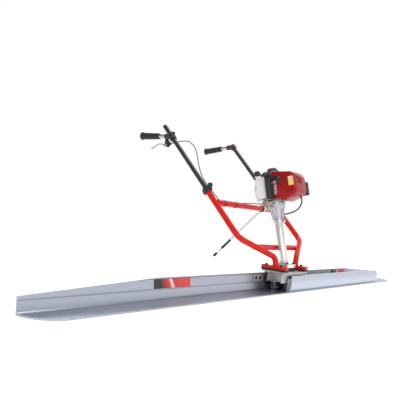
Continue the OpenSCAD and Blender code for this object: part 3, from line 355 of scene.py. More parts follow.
# ---- Rubber pads -------------------------------------------------------------------------
# Moulded black rubber under the foot strips and the mast; each bulges a little under load.
pad_rubber = surface("black pad rubber", (0.024, 0.024, 0.025), (0.014, 0.014, 0.014), 0.62, patch=30,
                     grain=0.3,
                     grain_size=700)
bm = bmesh.new()
for x in (-108, 108):
    block(bm, (x - 16.5, -49.5, 98), (x + 16.5, 81.5, 108), edge=2.2, steps=3, corner=4)
    block(bm, (x - 17, -50, 100.5), (x + 17, 82, 105.5), edge=2.2, steps=3, corner=4)
block(bm, (-41.5, -21, 98), (41.5, 68, 114), edge=1.5, corner=6)
for z in (101, 106, 111):
    block(bm, (-42, -21.5, z - 1.6), (42, 68.5, z + 1.6), edge=1.4, steps=3, corner=6)
mesh_piece("rubber_pads", bm, MM, "frame", pad_rubber, "pad_rubber", "isolator_pads")

# ---- Red frame ---------------------------------------------------------------------------
# Bent steel tube welded to flat foot strips and to two cross tubes, in thick gloss red paint.
red_paint = surface("gloss red paint", (0.74, 0.012, 0.003), (0.60, 0.008, 0.002), 0.22, patch=12, spread=0.7,
                    grain=0.10, grain_size=260, coat=0.15)
red_paint.node_tree.nodes["Principled BSDF"].inputs["Specular IOR Level"].default_value = 0.2


def eased(route, radii, steps=8):
    """A route through corner points, in mm, with each inner corner turned to a radius."""
    route = [Vector(p) for p in route]
    path = [route[0]]
    for before, corner, after, radius in zip(route, route[1:], route[2:], radii):
        back, on = (before - corner).normalized(), (after - corner).normalized()
        half = back.angle(on) / 2
        reach = radius / math.tan(half)
        centre = corner + (back + on).normalized() * (radius / math.sin(half))
        start, end = corner + back * reach - centre, corner + on * reach - centre
        path += [centre + start.slerp(end, k / steps) * radius for k in range(steps + 1)]
    return path + [route[-1]]


def pipe(bm, route, radius, sides=24, capped=True):
    """A round bar along a route, in mm."""
    line = bpy.data.curves.new("pipe", "CURVE")
    line.dimensions = "3D"
    line.bevel_depth = radius
    line.bevel_resolution = sides // 2 - 2
    line.use_fill_caps = capped
    strand = line.splines.new("POLY")
    strand.points.add(len(route) - 1)
    for knot, p in zip(strand.points, route):
        knot.co = (*p, 1)
    drawn = bpy.data.objects.new("pipe", line)
    shape = bpy.data.meshes.new_from_object(drawn)
    bm.from_mesh(shape)
    bpy.data.objects.remove(drawn)
    bpy.data.curves.remove(line)
    bpy.data.meshes.remove(shape)


def collar(bm, at, axis, radius, bulge=1.6):
    """A weld bead or a thin ring round a bar."""
    rim = [(radius - 0.6 + bulge * math.cos(a), bulge * math.sin(a))
           for a in (k * math.tau / 10 for k in range(10))]
    turned(bm, rim, at=at, axis=axis, ring=True)


SLOPE = 0.70711
for side_name, side in (("left", -1), ("right", 1)):
    bm = bmesh.new()
    x = side * 108
    block(bm, (x - 17, -50, 108), (x + 17, 82, 122), edge=1.4, corner=4)
    mesh_piece("foot_strip_bar_" + side_name, bm, MM, "frame", red_paint, "frame_red",
               "foot_strip_" + side_name)
    bm = bmesh.new()
    corners = [(x, 14, 122), (x, 14, 160), (side * 322, 105, 240), (side * 322, 105 + 290 * SLOPE,
                                                                    240 + 290 * SLOPE)]
    pipe(bm, eased(corners, (40, 60), steps=14), 14, sides=32)
    collar(bm, (x, 14, 123.2), (0, 0, 1), 14, bulge=2.2)
    mesh_piece("side_tube_bar_" + side_name, bm, MM, "frame", red_paint, "frame_red",
               "side_tube_" + side_name)

for tube_name, reach, y, z in (("upper", 308, 254.9, 389.9), ("lower", 209, 80.3, 202)):
    bm = bmesh.new()
    pipe(bm, [(-reach, y, z), (-reach / 3, y, z), (reach / 3, y, z), (reach, y, z)], 14, sides=32)
    for side in (-1, 1):
        if tube_name == "upper":
            collar(bm, (side * (reach + 0.5), y, z), (1, 0, 0), 14.2, bulge=2.4)
    mesh_piece(tube_name + "_cross_bar", bm, MM, "frame", red_paint, "frame_red", tube_name + "_cross_tube")

# ---- Bolts -------------------------------------------------------------------------------
# Black hexagon bolts on washers hold the strips, the mast and the posts; small domed screws
# hold the front rail, and four bolts hold the plates on the web.


def hexagon(bm, at, axis, across, height, edge=0.8):
    made = bmesh.ops.create_cone(bm, cap_ends=True, segments=6, radius1=across / 2, radius2=across / 2,
                                 depth=height)["verts"]
    bmesh.ops.translate(bm, vec=(0, 0, height / 2), verts=made)
    made = rounded(bm, made, {e for v in made for e in v.link_edges}, edge, 2)
    stand = Vector(axis).to_track_quat("Z", "Y").to_matrix().to_4x4()
    bmesh.ops.transform(bm, matrix=Matrix.Translation(at) @ stand, verts=made)


def bolt(bm, at, axis=(0, 0, 1), size=8, head=6.0):
    """A bolt head on a washer, with a domed middle."""
    way = Vector(axis).normalized()
    turned(bm, drum(size * 1.05, 1.5, edge=0.4), at=at, axis=axis, steps=28)
    hexagon(bm, Vector(at) + way * 1.4, axis, size * 1.66, head - 1.4)
    turned(bm, drum(size * 0.55, 0.9, edge=0.4), at=Vector(at) + way * (head - 0.4), axis=axis, steps=20)


bolt_steel = surface("blackened bolt steel", (0.035, 0.035, 0.038), (0.015, 0.015, 0.016), 0.34, metal=0.5,
                     patch=60, grain=0.3, grain_size=800)
bm = bmesh.new()
for x in (-108, 108):
    for y in (-18, 62):
        bolt(bm, (x, y, 122), head=6.8)
        turned(bm, drum(4, 6, edge=0.6, base=84.6), at=(x, y, 0), steps=20)
        hexagon(bm, (x, y, 84.9), (0, 0, 1), 13.4, 4.8)
for x in (-33, 33):
    for y in (-9.5, 56.5):
        bolt(bm, (x, y, 132), head=6.8)
for x in (-75, 75):
    bolt(bm, (x, 30, 98), size=10, head=6.8)
for k in range(5):
    turned(bm, [(0, 8), (6, 8), (6, 8.8), (4.6, 10.3), (2.2, 10.9), (0, 10.9)], at=(180 + k * 245, -25.5, 0),
           steps=28)
mesh_piece("bolts", bm, MM, "frame", bolt_steel, "black_metal", "fasteners")
bm = bmesh.new()
for x in (-208, -172, 172, 208):
    bolt(bm, (x, -5, 60), (0, -1, 0), head=4.8)
mesh_piece("web_plate_bolts", bm, WEB, "frame", bolt_steel, "black_metal")

# ---- Mast --------------------------------------------------------------------------------
# A pale painted tube welded into a flat flange that leans with it. The shaft runs inside, in
# two plastic bushes, and a split collar clamps the clutch housing at its top.
mast_paint = surface("pale silver paint", (0.90, 0.90, 0.90), (0.80, 0.80, 0.805), 0.22, metal=0.65,
                     patch=10, spread=0.7,
                     grain=0.12, grain_size=300, coat=0.3)
MAST = Matrix.Translation((0, 0.0235, 0.132)) @ Matrix.Rotation(math.radians(-15.4), 4, "X") @ MM
bm = bmesh.new()
block(bm, (-42, -21.5, 114), (42, 68.5, 132), edge=2.0, steps=3, corner=8)
mesh_piece("mast_foot", bm, MM, "frame", mast_paint, "mast_white", "mast_flange")
bm = bmesh.new()
turned(bm, [(18, 2), (21, 2), (21, 216), (20.4, 217), (18.6, 217), (18, 216.4)], ring=True, steps=56)
turned(bm, [(20.6, 5), (26.5, 5.6), (25, 8.2), (22.4, 9.4), (21, 12.5), (20.6, 12.5)], ring=True, steps=56)
mesh_piece("mast_pipe", bm, MAST, "frame", mast_paint, "mast_white", "mast_tube")

turned_steel = surface("machined steel", (0.66, 0.67, 0.69), (0.52, 0.53, 0.55), 0.26, metal=1.0, patch=40,
                       grain=0.25, grain_size=500, stretch=(1, 1, 0.2))
bm = bmesh.new()
turned(bm, [(21, 200.2), (25.4, 200.2), (26, 201), (26, 215.6), (25.4, 216.4), (21, 216.4)], ring=True,
       steps=56)
for x in (-7, 1.4):
    block(bm, (x, -36, 200.4), (x + 5.6, -22, 216.2), edge=0.8)
turned(bm, drum(2.6, 22, edge=0.4, base=-11), at=(0, -30, 208.2), axis=(1, 0, 0), steps=20)
bolt(bm, (6.9, -30, 208.2), (1, 0, 0), size=5, head=4)
hexagon(bm, (-7, -30, 208.2), (-1, 0, 0), 9, 3.6)
mesh_piece("mast_clamp_ring", bm, MAST, "frame", turned_steel, "steel", "mast_collar")

iron = surface("rough cast iron", (0.20, 0.20, 0.21), (0.10, 0.09, 0.09), 0.5, metal=0.8, patch=50, grain=0.6,
               grain_size=500)
bush_plastic = surface("pale bearing plastic", (0.84, 0.81, 0.72), (0.76, 0.73, 0.64), 0.5, patch=40,
                       grain=0.2)
for node in ("drive_shaft", "shaft_bearings", "crankshaft"):
    dress(node, turned_steel)
dress("eccentric_weight", iron)
dress("mast_bushes", bush_plastic)

# ---- Clutch housing and crankcase --------------------------------------------------------
# Die-cast aluminium: a ribbed cone bolted to the mast, then the crankcase with its round fan
# seat on top. A pressed tray, pale grey, shows under the tank.
engine_metal = surface("die-cast engine aluminium", (0.62, 0.62, 0.64), (0.42, 0.42, 0.44), 0.40, metal=0.85,
                       patch=30, grain=0.45, grain_size=480)
bm = bmesh.new()
turned(bm, [(14, 205), (17.9, 205), (17.9, 217), (27, 217), (28, 218), (28, 234), (31.5, 264), (40, 276.5),
            (43, 279), (44, 281), (44, 306), (46.5, 307.5), (46.5, 314), (45.5, 315), (41, 315), (41, 281),
            (16, 281),
            (16, 268), (6.1, 268), (6.1, 250), (14, 250)], ring=True, steps=64)
for k in range(8):
    rib = block(bm, (-1.6, 27, 222), (1.6, 43.5, 306), edge=0.9)
    for v in rib:
        if v.co.z < 270:
            v.co.y = min(v.co.y, 29 + max(0.0, v.co.z - 225) * 0.30)
    bmesh.ops.rotate(bm, verts=rib, cent=(0, 0, 0), matrix=Matrix.Rotation(math.radians(22.5 + 45 * k), 3,
                                                                           "Z"))
for k in range(4):
    turn_to = math.radians(45 + 90 * k)
    turned(bm, drum(4.4, 7, edge=0.8, base=307), at=(47.5 * math.cos(turn_to), 47.5 * math.sin(turn_to), 0),
           steps=20)
mesh_piece("clutch_bell", bm, MAST, "frame", engine_metal, "engine_aluminium", "clutch_housing")
dress("crankcase", engine_metal)
dress("cylinder", engine_metal)
drum_steel = surface("turned drum steel", (0.46, 0.46, 0.48), (0.30, 0.29, 0.29), 0.3, metal=1.0, patch=50,
                     grain=0.3,
                     grain_size=600, stretch=(1, 1, 0.1))
dress("clutch_drum", drum_steel)
dress("clutch_shoes", drum_steel)
dress("flywheel", engine_metal)
dress("piston", turned_steel)

# ---- Engine shroud -----------------------------------------------------------------------
# A gloss red moulding over the cylinder and head, open towards the crankcase. Its sides have a
# window over the coil, its front has a row of cooling slots, and blank labels sit on one flank.
shroud_red = surface("gloss red moulding", (0.42, 0.003, 0.006), (0.30, 0.002, 0.004), 0.20, patch=14,
                     spread=0.7,
                     grain=0.12, grain_size=420, coat=0.12)
shroud_red.node_tree.nodes["Principled BSDF"].inputs["Specular IOR Level"].default_value = 0.3
black_mould = surface("black moulding", (0.030, 0.033, 0.032), (0.016, 0.018, 0.018), 0.42, patch=26,
                      grain=0.35,
                      grain_size=850)


def prism(bm, outline, low, high, edge=0.0, steps=2, along=0, corner=0.0, segments=4):
    """A flat shape pushed out along one axis, in mm, with its rims rounded."""
    order = {0: lambda a, b, c: (c, a, b), 1: lambda a, b, c: (a, c, b), 2: lambda a, b, c: (a, b, c)}[along]
    corners = [bm.verts.new(order(a, b, low)) for a, b in outline]
    face = bm.faces.new(corners)
    out = bmesh.ops.extrude_face_region(bm, geom=[face])["geom"]
    top = [v for v in out if isinstance(v, bmesh.types.BMVert)]
    bmesh.ops.translate(bm, vec=order(0, 0, high - low), verts=top)
    made = corners + top
    if corner:
        long = [e for v in corners for e in v.link_edges if e.other_vert(v) in top]
        made = rounded(bm, made, long, corner, segments)
    if edge:
        rims = [e for e in {e for v in made for e in v.link_edges}
                if abs(e.verts[0].co[along] - e.verts[1].co[along]) < 0.001]
        made = rounded(bm, made, rims, edge, steps)
    return made


def cut_away(piece, cutter_bm, place):
    """Takes the cutter's shape out of a piece."""
    bmesh.ops.remove_doubles(cutter_bm, verts=cutter_bm.verts, dist=0.005)
    bmesh.ops.recalc_face_normals(cutter_bm, faces=cutter_bm.faces)
    bmesh.ops.transform(cutter_bm, matrix=place, verts=cutter_bm.verts)
    tool_mesh = bpy.data.meshes.new("cutter")
    cutter_bm.to_mesh(tool_mesh)
    cutter_bm.free()
    tool = bpy.data.objects.new("cutter", tool_mesh)
    scene.collection.objects.link(tool)
    step = piece.modifiers.new("cut", "BOOLEAN")
    step.operation = "DIFFERENCE"
    step.solver = "MANIFOLD"
    step.object = tool
    bpy.context.view_layer.update()
    shape = bpy.data.meshes.new_from_object(piece.evaluated_get(bpy.context.evaluated_depsgraph_get()))
    piece.modifiers.remove(step)
    old = piece.data
    piece.data = shape
    shape.set_sharp_from_angle(angle=math.radians(32))
    bpy.data.meshes.remove(old)
    bpy.data.objects.remove(tool)
    bpy.data.meshes.remove(tool_mesh)


shroud_side = [(-20, 300.5), (-70, 300.5), (-136, 320.4), (-147.6, 338), (-147.6, 407), (-129.6, 435),
               (-20, 456)]
bm = bmesh.new()
prism(bm, shroud_side, -61.8, 61.8, along=0, corner=9, segments=5, edge=10, steps=5)
shroud = mesh_piece("engine_shroud", bm, MAST, "frame", shroud_red, "cover_red", "top_cover")
inner_side = [(-10, 299), (-60, 299), (-133.5, 323.4), (-144.4, 340), (-144.4, 406), (-127.6, 432),
              (-10, 452.5)]
hollow = bmesh.new()
prism(hollow, inner_side, -58.4, 58.4, along=0, corner=6, segments=3)
cut_away(shroud, hollow, MAST)
hollow = bmesh.new()
turned(hollow, [(0, 396), (61, 396), (61, 480), (0, 480)], steps=64)
block(hollow, (-90, -60, 255), (90, 5, 313))
turned(hollow, drum(10, 60, edge=0.2), at=(30, -80, 358), axis=(1, 0, 0), steps=32)
cut_away(shroud, hollow, MAST)
hollow = bmesh.new()
block(hollow, (-90, -70, 390), (-40, -25, 427), corner=5, along=0)
block(hollow, (40, -70, 390), (90, -25, 427), corner=5, along=0)
for z in range(375, 411, 6):
    block(hollow, (-44, -160, z), (14, -130, z + 3), corner=1.3, along=1)
cut_away(shroud, hollow, MAST)

bm = bmesh.new()
for side in (-1, 1):
    low, high = sorted((side * 61.6, side * 61.98))
    block(bm, (low, -104, 366), (high, -48, 368), edge=0.15)
    for y in (-76, -84, -92):
        block(bm, (low, y - 1, 378), (high, y + 1, 424), edge=0.15)
    for y, z in ((-76, 356), (-104, 340)):
        turned(bm, drum(3.4, 0.6, edge=0.25, base=61.4), at=(0, y, z), axis=(side, 0, 0), steps=20)
mesh_piece("shroud_seams_and_screws", bm, MAST, "frame", bolt_steel, "cover_red")

bm = bmesh.new()
block(bm, (-57.6, -74, 389), (-50, -24, 429), edge=1, corner=4, along=0)
turned(bm, drum(11, 5, edge=1, base=50), at=(0, -38, 398), axis=(-1, 0, 0), steps=32)
mesh_piece("coil_backing", bm, MAST, "frame", black_mould, "black_plastic")
bm = bmesh.new()
turned(bm, [(0, 57.4), (7.5, 57.4), (8.2, 58), (8.2, 59.4), (7.5, 60), (3, 60), (2.4, 59.3), (0, 59.3)],
       at=(0, -34, 398), axis=(-1, 0, 0), steps=32)
turned(bm, drum(3, 3, edge=0.5, base=57), at=(0, -62, 418), axis=(-1, 0, 0), steps=20)
mesh_piece("coil_button", bm, MAST, "frame", turned_steel, "steel")
bm = bmesh.new()
prism(bm, [(-27.5, 336), (-38, 334.5), (-43.5, 342), (-45, 384), (-34, 385.5), (-28.5, 378)], -61.98, -61.2,
      along=0, corner=2.5, segments=3)
mesh_piece("shroud_side_strip", bm, MAST, "frame", engine_metal, "engine_aluminium")

label_yellow = surface("blank pale yellow label", (0.82, 0.72, 0.16), (0.76, 0.66, 0.22), 0.35, patch=60,
                       grain=0.05)
label_white = surface("blank white label", (0.86, 0.86, 0.82), (0.80, 0.80, 0.76), 0.35, patch=60, grain=0.05)
for tint_name, paint, low_h, high_h in (("yellow", label_yellow, 366, 402),
                                        ("white", label_white, 402.6, 410)):
    bm = bmesh.new()
    block(bm, (-62.2, -138, low_h), (-61.5, -111, high_h), edge=0.15, steps=1, corner=1.5, along=0)
    mesh_piece("shroud_label_" + tint_name, bm, MAST, "frame", paint, "cover_red")

# ---- Fan housing and pull starter --------------------------------------------------------
# A black dome bolted over the flywheel, with a stepped top, air slots between its ribs and a
# guide for the rope. The rope ends in a moulded T-handle that pulls straight out.
bm = bmesh.new()
turned(bm, [(0, 434), (57, 434), (57, 401), (59.4, 401), (60, 402), (60, 436.5), (58.6, 438.8), (41.5, 456.5),
            (40, 459), (39.2, 461), (30.5, 469.5), (27, 471), (25.6, 475), (24, 478.6), (21, 481.2),
            (0, 481.8)],
       steps=72)
for k in range(18):
    rib = prism(bm, [(42, 455.4), (59.2, 437.6), (59.8, 440), (43, 457.6)], -1.5, 1.5, along=1, edge=0.4,
                steps=1)
    bmesh.ops.rotate(bm, verts=rib, cent=(0, 0, 0), matrix=Matrix.Rotation(math.radians(10 + 20 * k), 3, "Z"))
for k in range(4):
    turn_to = math.radians(30 + 90 * k)
    turned(bm, drum(5, 8, edge=0.8, base=402), at=(58.5 * math.cos(turn_to), 58.5 * math.sin(turn_to), 0),
           steps=20)
turned(bm, [(2.7, 0), (6.5, 0), (8, 1.2), (8, 9), (2.7, 9)], at=(-52, -4, 437.5), axis=(-1, 0, 0), ring=True,
       steps=32)
turned(bm, [(17, 481.0), (17.6, 481.9), (18.4, 481.4), (18.4, 480.8)], ring=True, steps=48)
mesh_piece("fan_dome", bm, MAST, "frame", black_mould, "black_plastic", "recoil_cover")
bm = bmesh.new()
block(bm, (-23, 38, 440), (8, 66, 463), edge=4, steps=3, corner=6)
block(bm, (-17, 26, 452), (2, 48, 470), edge=3, steps=3, corner=5)
turned(bm, drum(4.5, 3, edge=0.8, base=462), at=(-8, 57, 0), steps=20)
mesh_piece("housing_ear", bm, MAST, "frame", black_mould, "black_plastic")
dress("recoil_reel", black_mould)

bm = bmesh.new()
pipe(bm, [(-92, -24, 437.5), (-92.6, -16, 437.5), (-93, -8, 437.5), (-93, 0, 437.5), (-92.6, 8, 437.5),
          (-92, 16, 437.5)], 7.4, sides=24)
for y in (-24, 16):
    turned(bm, drum(7.9, 3.4, edge=1.6, base=-1.7), at=(-92, y, 437.5), axis=(0, 1, 0), steps=32)
for y in (-19, -15, 7, 11):
    turned(bm, [(7, -0.9), (8, -0.5), (8, 0.5), (7, 0.9)], at=(-92.5, y, 437.5), axis=(0, 1, 0), ring=True,
           steps=32)
turned(bm, [(2.2, 0), (5.6, 0), (6, 1), (5.4, 10), (7, 15), (2.2, 15)], at=(-70.5, -4, 437.5),
       axis=(-1, 0, 0),
       ring=True, steps=32)
mesh_piece("starter_grip", bm, MAST, "starter", black_mould, "black_plastic", "starter_handle")
braid = surface("braided starter cord", (0.16, 0.16, 0.17), (0.05, 0.05, 0.055), 0.8, patch=900, spread=0.2,
                grain=0.6,
                grain_size=1500, stretch=(0.4, 1, 1))
dress("starter_rope", braid)

# ---- Fuel tank and cap -------------------------------------------------------------------
# A blow-moulded white tank wraps the back of the crankcase and fan; milky, slightly
# see-through plastic with a pinch line. A knurled black cap screws onto its neck.
tank_plastic = surface("milky tank plastic", (0.90, 0.91, 0.90), (0.82, 0.83, 0.82), 0.26, patch=9,
                       spread=0.8,
                       grain=0.12, grain_size=300, coat=0.2)
dial(tank_plastic.node_tree.nodes["Principled BSDF"],
     {"Subsurface Weight": 0.25, "Subsurface Radius": (0.01, 0.01, 0.012)})
bm = bmesh.new()
block(bm, (-69, 8.2, 327.2), (69, 85.8, 448.8), edge=9, steps=6, corner=22)
bmesh.ops.subdivide_edges(bm, edges=[e for e in bm.edges if abs(e.verts[0].co.z - e.verts[1].co.z) > 60],
                          cuts=11)
for v in bm.verts:
    rise = (v.co.z - 327.2) / 121.6
    draw_in = 1 - 0.20 * max(0.0, (rise - 0.45) / 0.55) ** 2 - 0.07 * max(0.0, (0.30 - rise) / 0.30) ** 2
    v.co.x *= draw_in
    v.co.y = 8.2 + (v.co.y - 8.2) * draw_in
tank = mesh_piece("fuel_tank_shell", bm, MAST, "frame", tank_plastic, "tank_white", "fuel_tank")
hollow = bmesh.new()
block(hollow, (-45.4, -15, 300), (45.4, 42.4, 402), edge=0.3, corner=4)
turned(hollow, [(0, 395), (63, 395), (63, 470), (0, 470)], steps=72)
cut_away(tank, hollow, MAST)
bm = bmesh.new()
block(bm, (-69.3, 44, 380.6), (69.3, 86.1, 382.6), edge=0.6, corner=22)
turned(bm, [(8, 446), (14.5, 446), (15.5, 447.4), (12.5, 449.0), (8, 449.0)], at=(-42, 64, 0), ring=True,
       steps=40)
mesh_piece("tank_seam_and_neck", bm, MAST, "frame", tank_plastic, "tank_white")
tray_metal = surface("pale grey pressed steel", (0.70, 0.71, 0.72), (0.56, 0.57, 0.58), 0.34, metal=0.6,
                     patch=20,
                     grain=0.2, grain_size=400)
bm = bmesh.new()
block(bm, (-60, 45, 322.4), (60, 80, 326.6), edge=1.2, corner=14)
block(bm, (-44, 42.6, 318), (44, 45.6, 326.6), edge=0.8)
mesh_piece("tank_tray", bm, MAST, "frame", tray_metal, "engine_aluminium")

bm = bmesh.new()
turned(bm, [(0, 449.4), (14.6, 449.4), (15.2, 450.2), (15.2, 468), (14.4, 471), (12, 474.6), (9, 476.2),
            (0, 476.2)],
       at=(-42, 64, 0), steps=48)
for k in range(24):
    turn_to = math.tau * k / 24
    turned(bm, drum(0.9, 17, edge=0.5, base=451), at=(-42 + 14.6 * math.cos(turn_to),
                                                      64 + 14.6 * math.sin(turn_to), 0),
           steps=8)
mesh_piece("fuel_cap_knurled", bm, MAST, "fuel_cap", black_mould, "black_plastic", "fuel_cap")

# ---- Air cleaner, carburettor and its levers ---------------------------------------------
# The air cleaner is a ribbed black box on the carburettor's mouth. The carburettor is a small
# brownish casting with a float bowl, brass screws and two levers on its outer side.
bm = bmesh.new()
block(bm, (-83.8, -19.6, 319), (-61.2, 6.9, 427), edge=2.4, steps=3, corner=5, along=0)
for z in (334, 352, 370, 388, 406):
    block(bm, (-84, -17, z), (-82, 4.4, z + 5), edge=0.7)
turned(bm, [(0, 0), (7.6, 0), (8, 0.6), (8, 2.0), (6.4, 2.6), (0, 2.6)], at=(-81.4, -6.4, 399),
       axis=(-1, 0, 0), steps=32)
mesh_piece("air_cleaner_box", bm, MAST, "frame", black_mould, "black_plastic", "air_cleaner")

carb_metal = surface("brownish carburettor casting", (0.58, 0.55, 0.51), (0.34, 0.30, 0.25), 0.38, metal=0.85,
                     patch=70, grain=0.4, grain_size=700)
brass = surface("dull brass", (0.72, 0.53, 0.20), (0.50, 0.34, 0.12), 0.3, metal=1.0, patch=90, grain=0.2)
bm = bmesh.new()
block(bm, (-71, -10, 286), (-50, 36, 316), edge=1.6, corner=4, along=0)
block(bm, (-76, 4, 290), (-70, 36, 312), edge=1.2, corner=5, along=0)
block(bm, (-76, -13.6, 300), (-68, 4, 316), edge=1.2, corner=4, along=0)
block(bm, (-52, -14, 283.4), (-47.6, 40, 318.4), edge=0.8, corner=5, along=0)
block(bm, (-48, -7.6, 315.4), (-45.2, 23.6, 318.4), edge=0.4)
block(bm, (-75.6, -6, 315.4), (-54, 20, 318.6), edge=0.6, corner=3)
turned(bm, drum(12, 19, edge=2.4, base=265.2), at=(-62, 13, 0), steps=40)
turned(bm, [(0, 284), (13.4, 284), (13.4, 286.4), (0, 286.4)], at=(-62, 13, 0), steps=40)
turned(bm, drum(5, 8.2, edge=0.6), at=(-66, 36, 301), axis=(0, 1, 0), steps=24)
mesh_piece("carburettor_body", bm, MAST, "frame", carb_metal, "carb_metal", "carburettor")
bm = bmesh.new()
hexagon(bm, (-62, 13, 266), (0, 0, -1), 8, 0.9, edge=0.3)
turned(bm, drum(2.2, 5, edge=0.4), at=(-70, -10, 308), axis=(0, -1, 0), steps=16)
turned(bm, drum(2.4, 1.2, edge=0.4), at=(-75.6, 12, 302), axis=(-1, 0, 0), steps=16)
turned(bm, drum(1.6, 6, edge=0.3), at=(-58, 30, 316), axis=(0, 0, 1), steps=12)
mesh_piece("carburettor_screws", bm, MAST, "frame", brass, "brass")
bm = bmesh.new()
turned(bm, drum(6, 3.8, edge=0.6), at=(-76.4, 28, 293), axis=(-1, 0, 0), steps=32)
turned(bm, drum(2.4, 14, edge=0.4, base=-13.6), at=(-76.4, 28, 293), axis=(-1, 0, 0), steps=20)
prism(bm, [(25.2, 293), (30.8, 293), (30, 277), (28, 275.2), (26, 277)], -80.2, -77.8, along=0, edge=0.4)
mesh_piece("throttle_arm_plate", bm, MAST, "throttle_arm", brass, "brass", "throttle_arm")
bm = bmesh.new()
turned(bm, drum(5, 3.8, edge=0.6), at=(-76.4, -6, 308), axis=(-1, 0, 0), steps=32)
turned(bm, drum(2.4, 14, edge=0.4, base=-13.6), at=(-76.4, -6, 308), axis=(-1, 0, 0), steps=20)
prism(bm, [(-6, 305.2), (-6, 310.8), (-23, 310.8), (-25.6, 308), (-23, 305.2)], -80.2, -77.6, along=0,
      edge=0.5)
mesh_piece("choke_tab", bm, MAST, "choke_lever", black_mould, "black_plastic", "choke_lever")

# ---- Muffler, oil cap, plug --------------------------------------------------------------
# A pressed steel box in heatproof black on the far flank, behind a slotted guard; the ribbed
# oil cap is just below it, and the plug stands in the cylinder head inside the shroud.
muffler_black = surface("heatproof black", (0.07, 0.068, 0.066), (0.03, 0.028, 0.027), 0.55, metal=0.4,
                        patch=40,
                        grain=0.5, grain_size=600)
bm = bmesh.new()
block(bm, (62.4, -147.8, 324.2), (92.1, -40.2, 389.8), edge=3, steps=3, corner=8)
for z in (336, 348, 360, 372):
    block(bm, (90.6, -136, z), (92.3, -56, z + 5), edge=0.7, corner=2, along=0)
turned(bm, drum(8, 22, edge=0.5, base=42.2), at=(0, -80, 358), axis=(1, 0, 0), steps=32)
turned(bm, [(4.4, 88), (7, 88), (7.4, 90), (7, 92.3), (4.4, 92.3)], at=(0, -120, 370), axis=(1, 0, 0),
       ring=True, steps=28)
mesh_piece("muffler_box", bm, MAST, "frame", muffler_black, "muffler_metal", "muffler")
bm = bmesh.new()
turned(bm, drum(7.9, 5.2, edge=0.4, base=-5), at=(45.4, -8, 329), axis=(1, 0, 0), steps=32)
turned(bm, drum(10.4, 8.8, edge=1.2), at=(45.4, -8, 329), axis=(1, 0, 0), steps=40)
for k in range(12):
    turn_to = math.tau * k / 12
    turned(bm, drum(1.2, 7.4, edge=0.5), at=(45.8, -8 + 9.8 * math.cos(turn_to),
                                             329 + 9.8 * math.sin(turn_to)),
           axis=(1, 0, 0), steps=10)
mesh_piece("oil_cap_ribbed", bm, MAST, "oil_cap", black_mould, "black_plastic", "oil_cap")
glaze = surface("white plug glaze", (0.88, 0.88, 0.86), (0.80, 0.80, 0.78), 0.15, patch=80, grain=0.05,
                coat=0.5)
dress("spark_plug", glaze)

# ---- Handle tubes ------------------------------------------------------------------------
# Dark bronze steel tubes telescope into the red frame and end in plastic plugs. Light shows
# along them as a thin silver line.
handle_finish = surface("dark handle coating", (0.055, 0.055, 0.060), (0.030, 0.028, 0.028), 0.18, metal=0.75,
                        patch=16, grain=0.12, grain_size=420, coat=0.5)
clamp_plastic = surface("black clamp nylon", (0.026, 0.026, 0.028), (0.014, 0.014, 0.015), 0.40, patch=40,
                        grain=0.35,
                        grain_size=800)
LINE = {side: Matrix.Translation((side * 0.322, 0.105, 0.240)) @ Matrix.Rotation(math.radians(-45), 4,
                                                                                 "X") @ MM
        for side in (-1, 1)}
for side_name, side in (("left", -1), ("right", 1)):
    bm = bmesh.new()
    turned(bm, [(9.6, 166), (9.6, 165), (11.4, 165), (11.4, 724), (0, 724), (0, 712), (9.6, 712),
                (9.6, 166)], steps=40)
    turned(bm, [(0, 723.5), (11.2, 723.5), (11.4, 724.4), (10.6, 727.2), (8, 728), (0, 728)], steps=40)
    mesh_piece("telescopic_tube_" + side_name, bm, LINE[side], "handle_" + side_name, handle_finish,
               "handle_metal",
               "handle_tube_" + side_name)

# ---- Tube clamps and their knobs ---------------------------------------------------------
# A nylon sleeve on the top of each red tube, split on its upper side and drawn tight by a
# screw with a lobed knob.
bm = bmesh.new()
for side in (-1, 1):
    one = bmesh.new()
    turned(one, [(14.1, 275.2), (18.4, 275.2), (19, 276), (19, 279), (18.2, 280), (18.2, 300), (19, 301),
                 (19, 304.2),
                 (18.4, 305), (11.6, 305), (11.6, 290.2), (14.1, 290.2)], ring=True, steps=56)
    block(one, (-9, -25, 275.2), (9, -14, 305), edge=1.4, corner=3)
    block(one, (-7.6, 14, 278.2), (7.6, 24, 301.8), edge=1.4, corner=3)
    turned(one, drum(4, 17, edge=0.6, base=-8.5), at=(0, 19.5, 290), axis=(1, 0, 0), steps=20)
    hexagon(one, (7.4, 19.5, 290), (1, 0, 0), 7.6, 2.0)
    bmesh.ops.recalc_face_normals(one, faces=one.faces)
    bmesh.ops.transform(one, matrix=LINE[side], verts=one.verts)
    held = bpy.data.meshes.new("clamp")
    one.to_mesh(held)
    one.free()
    bm.from_mesh(held)
    bpy.data.meshes.remove(held)
bmesh.ops.scale(bm, vec=(1000, 1000, 1000), verts=bm.verts)
mesh_piece("tube_clamp_pair", bm, MM, "frame", clamp_plastic, "clamp_black", "tube_clamps")
